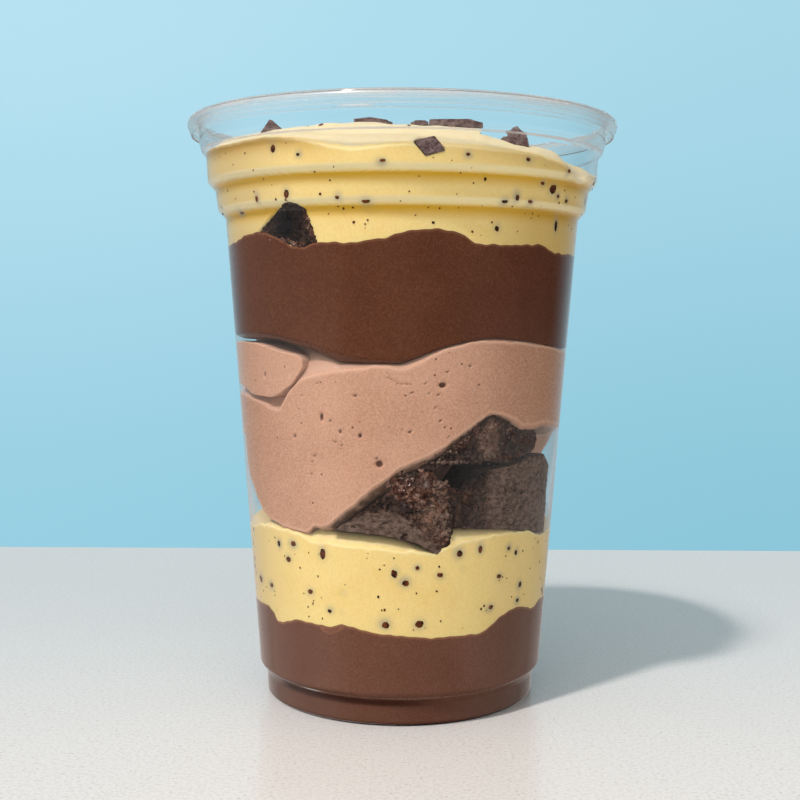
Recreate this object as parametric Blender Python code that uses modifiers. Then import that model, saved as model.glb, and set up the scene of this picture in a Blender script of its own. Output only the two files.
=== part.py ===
"""Layered mousse cup: a clear plastic cup filled with pudding, cream, mousse and brownie pieces.

Metres, +Z up. The origin is the middle of the cup's underside, and the front faces -Y.
The sizes below are millimetres and are turned into metres where a mesh is made. Directions
round the cup are degrees from the front, positive to the right.
"""

import math

import bmesh
import bpy
from mathutils import Matrix, Vector, noise

MM = 0.001
SEGMENTS = 36
GAP = 0.3

# The cup: a thin sheet, given by its middle surface. A band is (top radius, top height,
# bottom radius, bottom height).
SHEET = 0.4
HEIGHT = 131.8
RIM_RADIUS = 49.0
LIP_RADIUS = 1.3
LIP_TUCK = (0.4, -1.75)
NECK = (46.2, 126.2)
UPPER_BAND = (44.65, 123.0, 44.4, 118.2)
LOWER_BAND = (42.6, 115.4, 42.1, 111.9)
BODY = (40.3, 109.2, 33.0, 11.5)
SHOULDER_STEP = 0.2
SHOULDER_RADIUS = 1.4
SHOULDER_HEIGHT = 8.0
FOOT_RADIUS = 31.2
FOOT_TOP = 5.2
FOOT_EDGE = (31.0, 1.0)
REST_RING = (30.2, 26.0)
PUNT_RADIUS = 24.5
PUNT_HEIGHT = 1.2
SHARP_ON_CUP = 35.0

# The rings of points over a filling's faces, as shares of the wall's radius.
FACE_RINGS = (0.0, 0.35, 0.65, 0.88)
BASE_RINGS = (0.0, 0.4, 0.8, 0.89)
SHARP_ON_FILLING = 50.0

# The pieces in the cup: direction, distance of the middle from the axis, height of the
# middle, then size across, inwards and upwards, and the turn about the upright. A brownie
# has the seed of its torn faces last.
LEFT_BROWNIE = (-2.0, 25.0, 47.0, (25.0, 21.0, 18.0), 4.0, 3)
RIGHT_BROWNIE = (46.0, 26.0, 48.0, (36.0, 20.0, 16.4), -6.0, 11)
UPPER_BROWNIE = (34.0, 27.0, 62.2, (28.0, 18.0, 10.4), 3.0, 23)
CREAM_BROWNIE = (-37.5, 36.0, 105.5, (16.0, 10.0, 9.6), 0.0, 31)
DAB = (-64.0, 36.0, 75.8, (40.0, 18.0, 11.0), 0.0)

# The chocolate chips: direction, distance from the axis, size across, inwards and upwards,
# the turn about the upright and the lean towards the wall.
CHIPS = (
    (-40.0, 39.0, (3.4, 4.0, 2.6), 20.0, 8.0),
    (-13.0, 27.0, (7.4, 3.4, 1.2), -8.0, 0.0),
    (7.0, 29.0, (2.8, 2.6, 0.9), 12.0, 0.0),
    (22.0, 29.5, (11.0, 3.6, 1.3), -20.0, 0.0),
    (7.5, 40.0, (5.6, 3.6, 2.4), -25.0, 38.0),
    (33.0, 38.5, (5.4, 5.0, 3.2), 35.0, 18.0),
)
SUNK_SHARE = 0.35
CHIP_EDGE = 0.25

# A torn brownie: how far its corners are rounded, towards a ball of this radius in a block
# of 1, and how its faces are pushed about.
TORN_CORNERS = 0.35
TORN_BALL = 0.62
TORN_BUMPS = 2.6
TORN_PUSH = 0.9

# Looks: a linear colour and a roughness.
CLEAR_PLASTIC = ((0.93, 0.96, 0.97), 0.08)
CLEAR_ALPHA = 0.35
CREAM = ((0.87, 0.66, 0.27), 0.45)
DARK_PUDDING = ((0.115, 0.037, 0.020), 0.35)
BASE_PUDDING = ((0.150, 0.065, 0.042), 0.35)
MOUSSE = ((0.50, 0.29, 0.20), 0.60)
BROWNIE = ((0.045, 0.024, 0.018), 0.85)
CHOCOLATE = ((0.030, 0.016, 0.014), 0.40)


# ---------------------------------------------------------------- scene, materials, objects

def clear_scene():
    for old in list(bpy.data.objects):
        bpy.data.objects.remove(old, do_unlink=True)


def new_collection(name, hidden=False):
    collection = bpy.data.collections.new(name)
    collection.hide_render = hidden
    bpy.context.scene.collection.children.link(collection)
    return collection


def material(name, look, alpha=1.0):
    colour, roughness = look
    made = bpy.data.materials.new(name)
    made.use_nodes = True
    shader = made.node_tree.nodes["Principled BSDF"]
    shader.inputs["Base Color"].default_value = (*colour, 1.0)
    shader.inputs["Roughness"].default_value = roughness
    shader.inputs["Metallic"].default_value = 0.0
    shader.inputs["Alpha"].default_value = alpha
    return made


def add_piece(name, mesh, look):
    """A visible sub-part, held by the cup's empty."""
    made = bpy.data.objects.new(name, mesh)
    mesh.materials.append(look)
    part.objects.link(made)
    made.parent = holder
    return made


def add_cutter(name, mesh):
    made = bpy.data.objects.new(name, mesh)
    cutters.objects.link(made)
    made.hide_render = True
    made.display_type = "WIRE"
    return made


def add_boolean(target, operation, cutter):
    cut = target.modifiers.new(operation.lower(), "BOOLEAN")
    cut.operation = operation
    cut.solver = "EXACT"
    cut.object = cutter


# ---------------------------------------------------------------- the cup

def arc(centre, radius, start, end, steps):
    """Points on an arc of a profile, its angles in degrees from +X."""
    points = []
    for step in range(steps + 1):
        angle = math.radians(start + (end - start) * step / steps)
        points.append((centre[0] + radius * math.cos(angle), centre[1] + radius * math.sin(angle)))
    return points


def soft_step(upper, lower, steps=3):
    """A soft S between two points of the wall, as the stacking steps are pressed."""
    points = []
    for step in range(1, steps + 1):
        share = step / steps
        inwards = (1.0 - math.cos(math.pi * share)) / 2.0
        radius = upper[0] + (lower[0] - upper[0]) * inwards
        points.append((radius, upper[1] + (lower[1] - upper[1]) * share))
    return points


def wall_profile():
    """The wall's middle surface from the neck down to the rest ring, as (radius, height)."""
    points = [NECK]
    points += soft_step(NECK, UPPER_BAND[:2], 2)
    points += [UPPER_BAND[2:]]
    points += soft_step(UPPER_BAND[2:], LOWER_BAND[:2])
    points += [LOWER_BAND[2:]]
    points += soft_step(LOWER_BAND[2:], BODY[:2])
    points += [BODY[2:]]
    shoulder = (BODY[2] - SHOULDER_STEP - SHOULDER_RADIUS, SHOULDER_HEIGHT)
    points += arc(shoulder, SHOULDER_RADIUS, 0.0, -75.0, 2)
    points += [(FOOT_RADIUS, FOOT_TOP), FOOT_EDGE, (REST_RING[0], SHEET / 2)]
    return points


def sheet_profile():
    """The whole middle surface: the lip rolled outward and down, the wall, the pressed-up base."""
    lip = (RIM_RADIUS - SHEET / 2 - LIP_RADIUS, HEIGHT - SHEET / 2 - LIP_RADIUS)
    curl = [(lip[0] + LIP_RADIUS * LIP_TUCK[0], lip[1] + LIP_RADIUS * LIP_TUCK[1])]
    curl += arc(lip, LIP_RADIUS, -25.0, 180.0, 5)
    base = [(REST_RING[1], SHEET / 2), (PUNT_RADIUS, PUNT_HEIGHT), (0.0, PUNT_HEIGHT)]
    return curl + wall_profile() + base


def inner_radius(height):
    """Where the fillings end at a height: the sheet's inner face, less the gap."""
    inset = SHEET / 2 + GAP
    points = wall_profile()
    for (upper_radius, upper), (lower_radius, lower) in zip(points, points[1:]):
        if height >= lower:
            share = (height - lower) / (upper - lower)
            return lower_radius + (upper_radius - lower_radius) * share - inset
    return REST_RING[0] - inset


def turned_mesh(name, outline):
    """An outline of (radius, height) points, turned about +Z by a Screw modifier."""
    mesh = bpy.data.meshes.new(name)
    points = [(radius * MM, 0.0, height * MM) for radius, height in outline]
    mesh.from_pydata(points, [(i, i + 1) for i in range(len(points) - 1)], [])
    lathe = bpy.data.objects.new(name, mesh)
    cutters.objects.link(lathe)
    screw = lathe.modifiers.new("turn", "SCREW")
    screw.axis = "Z"
    screw.angle = math.tau
    screw.steps = SEGMENTS
    screw.render_steps = SEGMENTS
    screw.use_merge_vertices = True
    screw.merge_threshold = 0.00001
    graph = bpy.context.evaluated_depsgraph_get()
    made = bpy.data.meshes.new_from_object(lathe.evaluated_get(graph), depsgraph=graph)
    bpy.data.objects.remove(lathe, do_unlink=True)
    return made


def make_cup():
    plastic = material("clear plastic", CLEAR_PLASTIC, CLEAR_ALPHA)
    cup = add_piece("cup", turned_mesh("cup", sheet_profile()), plastic)
    shell = cup.modifiers.new("sheet", "SOLIDIFY")
    shell.thickness = SHEET * MM
    shell.offset = 0.0
    shell.use_even_offset = True
    cup.data.shade_smooth()
    cup.data.set_sharp_from_angle(angle=math.radians(SHARP_ON_CUP))


# ---------------------------------------------------------------- the fillings' faces

def swell(angle, centre, rise, width):
    """A smooth rise at one place round the wall."""
    away = (angle - centre + 180.0) % 360.0 - 180.0
    return rise * math.exp(-((away / width) ** 2))


def ease(share):
    share = min(1.0, max(0.0, share))
    return share * share * (3.0 - 2.0 * share)


def ramp(angle, start, end, rise):
    """A smooth climb between two places round the wall."""
    return rise * ease((angle - start) / (end - start))


RAMP_FADE = (0.2, 0.5)


class Face:
    """A filling's upper or lower face, a height for each direction and share of the wall's radius.

    On the wall it is a line with swells and ramps. The swells pass over to the middle between
    the two fade shares, and the ramps between those of RAMP_FADE. The middle may lean to the
    front.
    """

    def __init__(self, line, swells=(), ramps=(), middle=None, lean=0.0, fade=(0.0, 1.0)):
        self.line = line
        self.swells = swells
        self.ramps = ramps
        self.middle = line if middle is None else middle
        self.lean = lean
        self.fade = fade

    def height(self, angle, share):
        wall = ease((share - self.fade[0]) / (self.fade[1] - self.fade[0]))
        lifted = ease((share - RAMP_FADE[0]) / (RAMP_FADE[1] - RAMP_FADE[0]))
        line = self.line + sum(swell(angle, *one) for one in self.swells)
        middle = self.middle + self.lean * share * math.cos(math.radians(angle))
        climb = sum(ramp(angle, *one) for one in self.ramps)
        return line * wall + middle * (1.0 - wall) + climb * lifted

    def at_wall(self, angle):
        return self.height(angle, 1.0)

    def raised(self, by=GAP):
        middle = self.middle + by
        return Face(self.line + by, self.swells, self.ramps, middle, self.lean, self.fade)


class Floor(Face):
    """The cup's floor, flat on its rest ring and raised inside it."""

    def height(self, angle, share):
        on_ring = share > (BASE_RINGS[2] + BASE_RINGS[3]) / 2.0
        return (SHEET if on_ring else PUNT_HEIGHT + SHEET / 2) + GAP


CUP_FLOOR = Floor(SHEET + GAP)
BASE_PUDDING_TOP = Face(
    21.6,
    swells=((15, -1.8, 20), (50, 2.6, 10), (-62, 1.4, 9), (120, -1.5, 22), (200, 1.6, 25)),
)
LOWER_CREAM_TOP = Face(
    40.6,
    swells=((10, -2.3, 13), (-20, -1.2, 14), (-52, 1.0, 14), (48, 1.0, 14), (150, 1.5, 30)),
)
MOUSSE_OVER_CREAM = 0.66
MOUSSE_FOOT = Face(
    LOWER_CREAM_TOP.line + MOUSSE_OVER_CREAM,
    swells=LOWER_CREAM_TOP.swells,
    ramps=((-36, 31, 26.0), (31, 48, -3.5), (84, 112, -22.5)),
)
MOUSSE_TOP = Face(
    81.6,
    swells=((-55, 1.6, 24), (-5, -4.0, 14), (30, 1.6, 15), (80, -1.6, 20), (170, 2.0, 35)),
)
DARK_PUDDING_TOP = Face(
    102.4,
    swells=((-50, 2.8, 13), (8, 3.0, 12), (64, -1.1, 16), (130, 1.6, 20), (215, 2.2, 25)),
)
HEAP = Face(
    121.4,
    swells=((-55, 2.5, 28), (-13, -1.2, 8), (62, -2.8, 15), (180, 0.8, 40)),
    middle=126.0,
    lean=2.4,
    fade=(0.68, 1.0),
)
SHOWN_MOUSSE_GAP = 0.9

# Between these heights a filling's side follows the bends of the wall.
FOOT_LEVELS = (0.9, 12.0)
CREAM_LEVELS = (106.0, 123.5)


def bends(lowest, highest):
    """The heights between two levels where the wall's profile bends, from the bottom up."""
    return sorted(height for _, height in wall_profile() if lowest < height < highest)


def split_alike(mesh):
    """Splits every quad along its shorter diagonal, so that two faces that meet are split alike."""
    whole = bmesh.new()
    whole.from_mesh(mesh)
    bmesh.ops.triangulate(whole, faces=whole.faces[:], quad_method="SHORT_EDGE")
    whole.to_mesh(mesh)
    whole.free()


def filling_mesh(name, lower, upper, levels=(), rings=FACE_RINGS):
    """A layer between two faces that runs through the cup, its side on the wall.

    It starts as a turned blank whose heights count the rings of its side, and each ring is
    then set at its own height and on the wall.
    """
    top = len(levels) + 1
    outline = [(share, top) for share in rings]
    outline += [(1.0, level) for level in range(top, -1, -1)]
    outline += [(share, 0) for share in reversed(rings)]
    mesh = turned_mesh(name, outline)
    for point in mesh.vertices:
        share = math.hypot(point.co.x, point.co.y) / MM
        angle = math.degrees(math.atan2(point.co.x, -point.co.y))
        level = round(point.co.z / MM)
        if level in (0, top):
            face = upper if level else lower
            height = face.height(angle, share)
            edge = face.height(angle, 1.0)
        else:
            under_edge = upper.height(angle, 1.0) - (top - level) * GAP / 2
            height = edge = min(levels[level - 1], under_edge)
        radius = share * inner_radius(edge)
        point.co.x = radius * math.sin(math.radians(angle)) * MM
        point.co.y = -radius * math.cos(math.radians(angle)) * MM
        point.co.z = height * MM
    split_alike(mesh)
    mesh.shade_smooth()
    mesh.set_sharp_from_angle(angle=math.radians(SHARP_ON_FILLING))
    return mesh


# ---------------------------------------------------------------- the loose pieces

def placing(angle, distance, height, turn=0.0, lean=0.0):
    """The matrix that puts a piece in the cup, its own -Y towards the wall."""
    round_cup = Matrix.Rotation(math.radians(angle), 4, "Z")
    out = Matrix.Translation(Vector((0.0, -distance, height)) * MM)
    turned = Matrix.Rotation(math.radians(turn), 4, "Z")
    return round_cup @ out @ turned @ Matrix.Rotation(math.radians(lean), 4, "X")


def crumb_block(name, place, grow=0.0, cuts=3):
    """A torn piece of brownie: a block whose faces are subdivided and pushed about."""
    angle, distance, height, size, turn, seed = place
    noise.seed_set(seed)
    mesh = bpy.data.meshes.new(name)
    block = bmesh.new()
    bmesh.ops.create_cube(block, size=1.0)
    bmesh.ops.subdivide_edges(block, edges=block.edges[:], cuts=cuts, use_grid_fill=True)
    for point in block.verts:
        around = point.co.normalized()
        rounded = point.co.lerp(around * TORN_BALL, TORN_CORNERS)
        push = noise.noise_vector(point.co * TORN_BUMPS) * TORN_PUSH
        point.co = Vector([rounded[i] * (size[i] + 2.0 * grow) + push[i] for i in range(3)]) * MM
    bmesh.ops.transform(block, matrix=placing(angle, distance, height, turn), verts=block.verts[:])
    bmesh.ops.triangulate(block, faces=block.faces[:])
    block.to_mesh(mesh)
    block.free()
    return mesh


def dab_mesh(name, grow=0.0):
    """The small dab of mousse: a flattened ball against the wall."""
    angle, distance, height, size, turn = DAB
    mesh = bpy.data.meshes.new(name)
    ball = bmesh.new()
    bmesh.ops.create_uvsphere(ball, u_segments=20, v_segments=10, radius=0.5)
    wide = Matrix.Diagonal([(length + 2.0 * grow) * MM for length in size] + [1.0])
    bmesh.ops.transform(ball, matrix=placing(angle, distance, height, turn) @ wide, verts=ball.verts[:])
    ball.to_mesh(mesh)
    ball.free()
    return mesh


def make_brownies(look):
    """The three torn pieces between the lower cream and the mousse, each cut by those before it."""
    space = filling_mesh("room", LOWER_CREAM_TOP.raised(), MOUSSE_FOOT.raised(-GAP))
    room = add_cutter("room under the mousse", space)
    taken = []
    for side, place in (("left", LEFT_BROWNIE), ("right", RIGHT_BROWNIE), ("upper", UPPER_BROWNIE)):
        piece = add_piece(f"brownie_{side}", crumb_block(f"brownie_{side}", place), look)
        add_boolean(piece, "INTERSECT", room)
        for before in taken:
            add_boolean(piece, "DIFFERENCE", before)
        taken.append(add_cutter(f"{side} grown", crumb_block(f"{side} grown", place, GAP)))


def make_mousse(look):
    whole = filling_mesh("mousse_main", MOUSSE_FOOT, MOUSSE_TOP)
    main = add_piece("mousse_main", whole, look)
    add_boolean(main, "DIFFERENCE", add_cutter("dab pocket", dab_mesh("dab pocket", grow=2.0 * GAP)))
    dab = add_piece("mousse_dab", dab_mesh("mousse_dab"), look)
    add_boolean(dab, "INTERSECT", add_cutter("mousse room", whole.copy()))


def chip_mesh(name, chip, grow=0.0):
    """A broken piece of chocolate pressed into the heap by a share of its thickness."""
    angle, distance, size, turn, lean = chip
    ground = HEAP.height(angle, distance / inner_radius(HEAP.at_wall(angle)))
    height = ground + size[2] * (0.5 - SUNK_SHARE)
    mesh = bpy.data.meshes.new(name)
    block = bmesh.new()
    bmesh.ops.create_cube(block, size=1.0)
    shape = Matrix.Diagonal([(length + 2.0 * grow) * MM for length in size] + [1.0])
    place = placing(angle, distance, height, turn, lean)
    bmesh.ops.transform(block, matrix=place @ shape, verts=block.verts[:])
    block.to_mesh(mesh)
    block.free()
    return mesh


def make_top_cream(look, brownie_look):
    lower = DARK_PUDDING_TOP.raised()
    whole = filling_mesh("cream_top", lower, HEAP, levels=bends(*CREAM_LEVELS))
    cream = add_piece("cream_top", whole, look)
    for number, chip in enumerate(CHIPS, start=1):
        name = f"chip pocket {number}"
        add_boolean(cream, "DIFFERENCE", add_cutter(name, chip_mesh(name, chip, GAP)))
    pocket = crumb_block("brownie pocket", CREAM_BROWNIE, grow=GAP, cuts=2)
    add_boolean(cream, "DIFFERENCE", add_cutter("brownie pocket", pocket))
    chunk = crumb_block("brownie_in_cream", CREAM_BROWNIE, cuts=2)
    piece = add_piece("brownie_in_cream", chunk, brownie_look)
    add_boolean(piece, "INTERSECT", add_cutter("cream room", whole.copy()))


def make_chips(look):
    for number, chip in enumerate(CHIPS, start=1):
        name = f"chip_{number}"
        piece = add_piece(name, chip_mesh(name, chip), look)
        edge = piece.modifiers.new("broken edge", "BEVEL")
        edge.width = CHIP_EDGE * MM
        edge.segments = 1


clear_scene()
part = new_collection("layered_mousse_cup")
cutters = new_collection("cutters", hidden=True)
holder = bpy.data.objects.new("layered_mousse_cup", None)
part.objects.link(holder)

cream_look = material("vanilla cream", CREAM)
dark_look = material("dark pudding", DARK_PUDDING)
base_look = material("base pudding", BASE_PUDDING)
mousse_look = material("light mousse", MOUSSE)
brownie_look = material("brownie", BROWNIE)
chocolate_look = material("chocolate", CHOCOLATE)

make_cup()
foot_bends = bends(*FOOT_LEVELS)
base_mesh = filling_mesh("pudding_base", CUP_FLOOR, BASE_PUDDING_TOP, foot_bends, BASE_RINGS)
add_piece("pudding_base", base_mesh, base_look)
lower_mesh = filling_mesh("cream_lower", BASE_PUDDING_TOP.raised(), LOWER_CREAM_TOP)
add_piece("cream_lower", lower_mesh, cream_look)
make_brownies(brownie_look)
make_mousse(mousse_look)
pudding_mesh = filling_mesh("pudding_upper", MOUSSE_TOP.raised(SHOWN_MOUSSE_GAP), DARK_PUDDING_TOP)
add_piece("pudding_upper", pudding_mesh, dark_look)
make_top_cream(cream_look, brownie_look)
make_chips(chocolate_look)
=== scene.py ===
# %% [markdown]
# # A layered mousse cup
#
# A clear plastic cup is filled, from the bottom up, with pudding, vanilla cream, torn
# brownies, a light chocolate mousse with a small dab beside it, dark pudding, and a heap of
# vanilla cream with chips of chocolate. All of it shows through the wall, so every layer is
# modelled as the lump it is, pressed flat where it touches the plastic and round where it
# leaves it.
#
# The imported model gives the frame: each piece made here takes the place of one of its nodes.
# Sizes are in millimetres and directions in degrees from the front, positive to the right;
# MM turns them into Blender's metres.

import math
from contextlib import contextmanager

import bpy
import numpy as np
from mathutils import Matrix, Vector, noise


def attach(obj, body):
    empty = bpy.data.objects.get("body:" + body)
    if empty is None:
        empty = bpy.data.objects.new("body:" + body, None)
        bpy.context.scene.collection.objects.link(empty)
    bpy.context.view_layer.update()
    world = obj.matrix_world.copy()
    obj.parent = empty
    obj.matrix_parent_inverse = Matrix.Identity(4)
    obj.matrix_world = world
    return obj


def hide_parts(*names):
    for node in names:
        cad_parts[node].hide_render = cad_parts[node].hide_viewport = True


MM = 0.001

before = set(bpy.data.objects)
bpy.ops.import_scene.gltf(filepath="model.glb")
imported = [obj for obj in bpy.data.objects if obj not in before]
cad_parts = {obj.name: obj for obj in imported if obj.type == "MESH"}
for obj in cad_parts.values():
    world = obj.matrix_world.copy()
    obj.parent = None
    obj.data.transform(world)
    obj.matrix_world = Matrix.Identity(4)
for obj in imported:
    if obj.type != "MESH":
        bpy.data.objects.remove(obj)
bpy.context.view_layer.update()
print("the frame's nodes:", ", ".join(sorted(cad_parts)))

# %% [markdown]
# ## The camera
#
# The camera stands where the photograph's did. The ellipses of the lip, the steps and the
# base gave its place: 288 mm in front of the cup's axis and a little above the middle of its
# height, looking down by four degrees. The photograph is square, so the lens is given for a
# sensor as wide as it is high.

# %% Place the camera
EYE = (0.0, -288.03, 89.03)
LOOKS_DOWN, LOOKS_LEFT, LEANS = 4.194, 0.043, 0.298
LENS, SENSOR = 55.29, 36.0


def turned(degrees, axis):
    """A turn about an axis, as a matrix."""
    return Matrix.Rotation(math.radians(degrees), 4, axis)


bpy.ops.object.camera_add()
camera = bpy.context.object
camera.data.lens = LENS
camera.data.sensor_width = SENSOR
aim = turned(LOOKS_LEFT, "Z") @ turned(90.0 - LOOKS_DOWN, "X") @ turned(LEANS, "Z")
camera.matrix_world = Matrix.Translation(Vector(EYE) * MM) @ aim
bpy.context.scene.camera = camera
bpy.context.scene.view_settings.view_transform = "Standard"
print("the camera stands", round(Vector(EYE).length), "mm from the cup's foot")

# %% [markdown]
# ## Shader maths as Python
#
# A finish is a tree of nodes. Wiring it by hand in a script is long and hard to read, so two
# small classes write it: `Ink` is one output of a node, and Python's own operators on it add
# Math nodes; `Finish` is the tree, with one method that adds any node.

# %% Two classes that write node trees
class Ink:
    """One output of a node. Reckoning with it adds Math nodes."""

    def __init__(self, finish, socket):
        self.finish = finish
        self.socket = socket

    def maths(self, operation, *others, first=None):
        values = (self if first is None else first, *others)
        return self.finish.node("ShaderNodeMath", {"operation": operation}, dict(enumerate(values)))

    def __add__(self, other):
        return self.maths("ADD", other)

    def __sub__(self, other):
        return self.maths("SUBTRACT", other)

    def __rsub__(self, other):
        return self.maths("SUBTRACT", self, first=other)

    def __mul__(self, other):
        return self.maths("MULTIPLY", other)

    def __truediv__(self, other):
        return self.maths("DIVIDE", other)

    def __pow__(self, other):
        return self.maths("POWER", other)

    __radd__ = __add__
    __rmul__ = __mul__

    def or_more(self, other):
        return self.maths("MAXIMUM", other)

    def between(self, low, high):
        """0 at low and under, 1 at high and over, with a smooth climb."""
        limits = {"From Min": low, "From Max": high, "Value": self}
        return self.finish.node("ShaderNodeMapRange", {"interpolation_type": "SMOOTHSTEP"}, limits)


class Finish:
    """A tree of nodes: a material's, or the world's."""

    def __init__(self, owner):
        owner.use_nodes = True
        self.owner = owner
        self.tree = owner.node_tree
        self.tree.nodes.clear()

    def connect(self, socket, value):
        if isinstance(value, Ink):
            self.tree.links.new(value.socket, socket)
        elif isinstance(value, tuple) and len(socket.default_value) == 4:
            socket.default_value = (*value, 1.0)
        else:
            socket.default_value = value

    def node(self, kind, settings=None, sockets=None, output=0):
        """Adds a node: its settings first, then its sockets' values or links."""
        made = self.tree.nodes.new(kind)
        for name, value in (settings or {}).items():
            setattr(made, name, value)
        for name, value in (sockets or {}).items():
            self.connect(made.inputs[name], value)
        return Ink(self, made.outputs[output]) if len(made.outputs) else made

    def mixed(self, colour, other, share):
        """One colour, passing over to another as share goes from 0 to 1."""
        sockets = {0: share, 6: colour, 7: other}
        return self.node("ShaderNodeMix", {"data_type": "RGBA"}, sockets, output=2)

    def coats(self, colour, *others):
        """One colour with others laid over it in turn, each given with its share."""
        for other, share in others:
            colour = self.mixed(colour, other, share)
        return colour

    def place(self):
        """Where a point is on the piece, in metres."""
        return self.node("ShaderNodeTexCoord", output="Object")

    def along(self, axis):
        """How far along an axis a point of the piece is, in millimetres."""
        return self.node("ShaderNodeSeparateXYZ", {}, {0: self.place()}, output=axis) * (1.0 / MM)

    def stretched(self, by):
        """The same place on a piece stretched by three factors."""
        sockets = {0: self.place(), 1: by}
        return self.node("ShaderNodeVectorMath", {"operation": "MULTIPLY"}, sockets)

    def grain(self, size, detail=2.0, roughness=0.5, place=None):
        """Noise whose lumps are about size millimetres wide, from 0 to 1."""
        where = self.place() if place is None else place
        sockets = {"Vector": where, "Scale": 1.0 / (size * MM)}
        sockets |= {"Detail": detail, "Roughness": roughness}
        return self.node("ShaderNodeTexNoise", {}, sockets)

    def dots(self, spacing, share, width):
        """Round dots, width millimetres across, in a share of the cells of a grid."""
        sockets = {"Vector": self.place(), "Scale": 1.0 / (spacing * MM)}
        away = self.node("ShaderNodeTexVoronoi", {}, sockets)
        luck = self.node("ShaderNodeTexVoronoi", {}, sockets, output="Color")
        chosen = luck.maths("LESS_THAN", share)
        edge = width / spacing / 2.0
        return (1.0 - away.between(0.6 * edge, 1.2 * edge)) * chosen

    def near(self, centre, width):
        """1 at a point of the piece, given in millimetres, and 0 beyond half the width."""
        sockets = {0: self.place(), 1: tuple(Vector(centre) * MM)}
        away = self.node("ShaderNodeVectorMath", {"operation": "DISTANCE"}, sockets, output="Value")
        return 1.0 - away.between(0.3 * width * MM, 0.55 * width * MM)

    def painted(self, name):
        """A value painted on the piece's points."""
        return self.node("ShaderNodeAttribute", {"attribute_name": name}, output="Fac")

    def bumps(self, height, depth):
        """A Normal from a height of 0 to 1, depth millimetres deep."""
        return self.node("ShaderNodeBump", {}, {"Height": height, "Distance": depth * MM})

    def close(self, shader, kind="ShaderNodeOutputMaterial"):
        self.node(kind, {}, {"Surface": shader})
        return self.owner


def new_finish(name):
    return Finish(bpy.data.materials.new(name))


# %% [markdown]
# ## The stage
#
# A plain pale table, and a pale blue background as in a product photograph. The table ends
# behind the cup, where the photograph's does. The background is the world itself: what the
# camera sees, straight or through the clear wall, is the blue, and what lights the food is a
# whiter fill, stronger from the front. The key light is a sun high in front and to the left,
# as the cup's shadow in the photograph shows, and small enough for a crisp shadow.

# So the world has three faces: the blue one for rays that reach the camera straight or through
# the plastic, a dim one that the plastic mirrors, brighter at the sides, and the fill for all
# other light. A polished cup also mirrors the bright table in front of it. The photograph hardly
# shows that, as if it was taken through a polarising filter, so the table is left out of
# reflections, while its own thin polish still mirrors the cup's foot a little.

# %% World and key light
BACKDROP_LOW, BACKDROP_HIGH = (0.315, 0.622, 0.760), (0.475, 0.760, 0.885)
BACKDROP_RIGHT = (0.84, 0.91, 0.92)
FILL_FRONT, FILL_BACK = (1.15, 1.11, 1.07), (0.30, 0.43, 0.47)
FILL_SIDE, FILL_RIGHT = (0.16, 0.18, 0.18), (0.24, 0.185, 0.13)
SHINE_FRONT, SHINE_BACK = (0.035, 0.035, 0.035), (0.42, 0.60, 0.68)
SHINE_LEFT, SHINE_RIGHT, HAZE = (0.64, 0.60, 0.57), (0.45, 0.42, 0.40), 0.42
KEY_FROM = (-0.44, -0.50, 1.0)
KEY_STRENGTH, KEY_COLOUR, KEY_WIDTH = 2.45, (1.0, 0.88, 0.82), 3.5

sky = Finish(bpy.context.scene.world or bpy.data.worlds.new("studio"))
bpy.context.scene.world = sky.owner
toward = sky.node("ShaderNodeTexCoord", output="Generated")
axes = sky.node("ShaderNodeSeparateXYZ", {}, {0: toward})
sideways, inwards, upwards = (Ink(sky, axes.socket.node.outputs[axis]) for axis in "XYZ")
backdrop = sky.mixed(BACKDROP_LOW, BACKDROP_HIGH, upwards.between(-0.22, 0.26))
shaded = sky.node("ShaderNodeMix", {"data_type": "RGBA", "blend_type": "MULTIPLY"},
                  {0: sideways.between(-0.33, 0.33), 6: backdrop, 7: BACKDROP_RIGHT}, output=2)
off_centre = sideways * sideways
fill = sky.coats(FILL_FRONT, (FILL_BACK, inwards.between(-0.5, 0.5)),
                 (FILL_SIDE, off_centre.between(0.10, 0.80)), (FILL_RIGHT, sideways.between(0.15, 0.80)))
low_side = (-0.05 - upwards).between(0.0, 0.20) * off_centre.or_more(inwards).between(0.25, 0.75)
shine = sky.coats(SHINE_FRONT, (SHINE_BACK, inwards.between(0.45, 0.98)),
                  (SHINE_LEFT, (0.0 - sideways).between(0.45, 1.0) * HAZE),
                  (sky.mixed(SHINE_LEFT, SHINE_RIGHT, sideways.between(-0.3, 0.3)), low_side))


def ray_is(finish, kind):
    """1 for rays of a kind, or how often a ray has been scattered so."""
    return finish.node("ShaderNodeLightPath", output=kind)


mirrored = ray_is(sky, "Glossy Depth").between(0.0, 1.0)
scattered = ray_is(sky, "Diffuse Depth").between(0.0, 1.0)
seen = ray_is(sky, "Is Camera Ray").or_more(ray_is(sky, "Is Transmission Ray"))
seen = seen * (1.0 - mirrored.or_more(scattered))
light = sky.mixed(sky.mixed(fill, shine, mirrored), shaded, seen)
sky.close(sky.node("ShaderNodeBackground", {}, {"Color": light}), "ShaderNodeOutputWorld")

bpy.ops.object.light_add(type="SUN")
key = bpy.context.object
key.data.energy = KEY_STRENGTH
key.data.color = KEY_COLOUR
key.data.angle = math.radians(KEY_WIDTH)
key.rotation_mode = "QUATERNION"
key.rotation_quaternion = Vector(KEY_FROM).to_track_quat("Z", "Y")
print("the key light stands", round(math.degrees(math.asin(Vector(KEY_FROM).normalized().z))), "degrees up")

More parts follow.
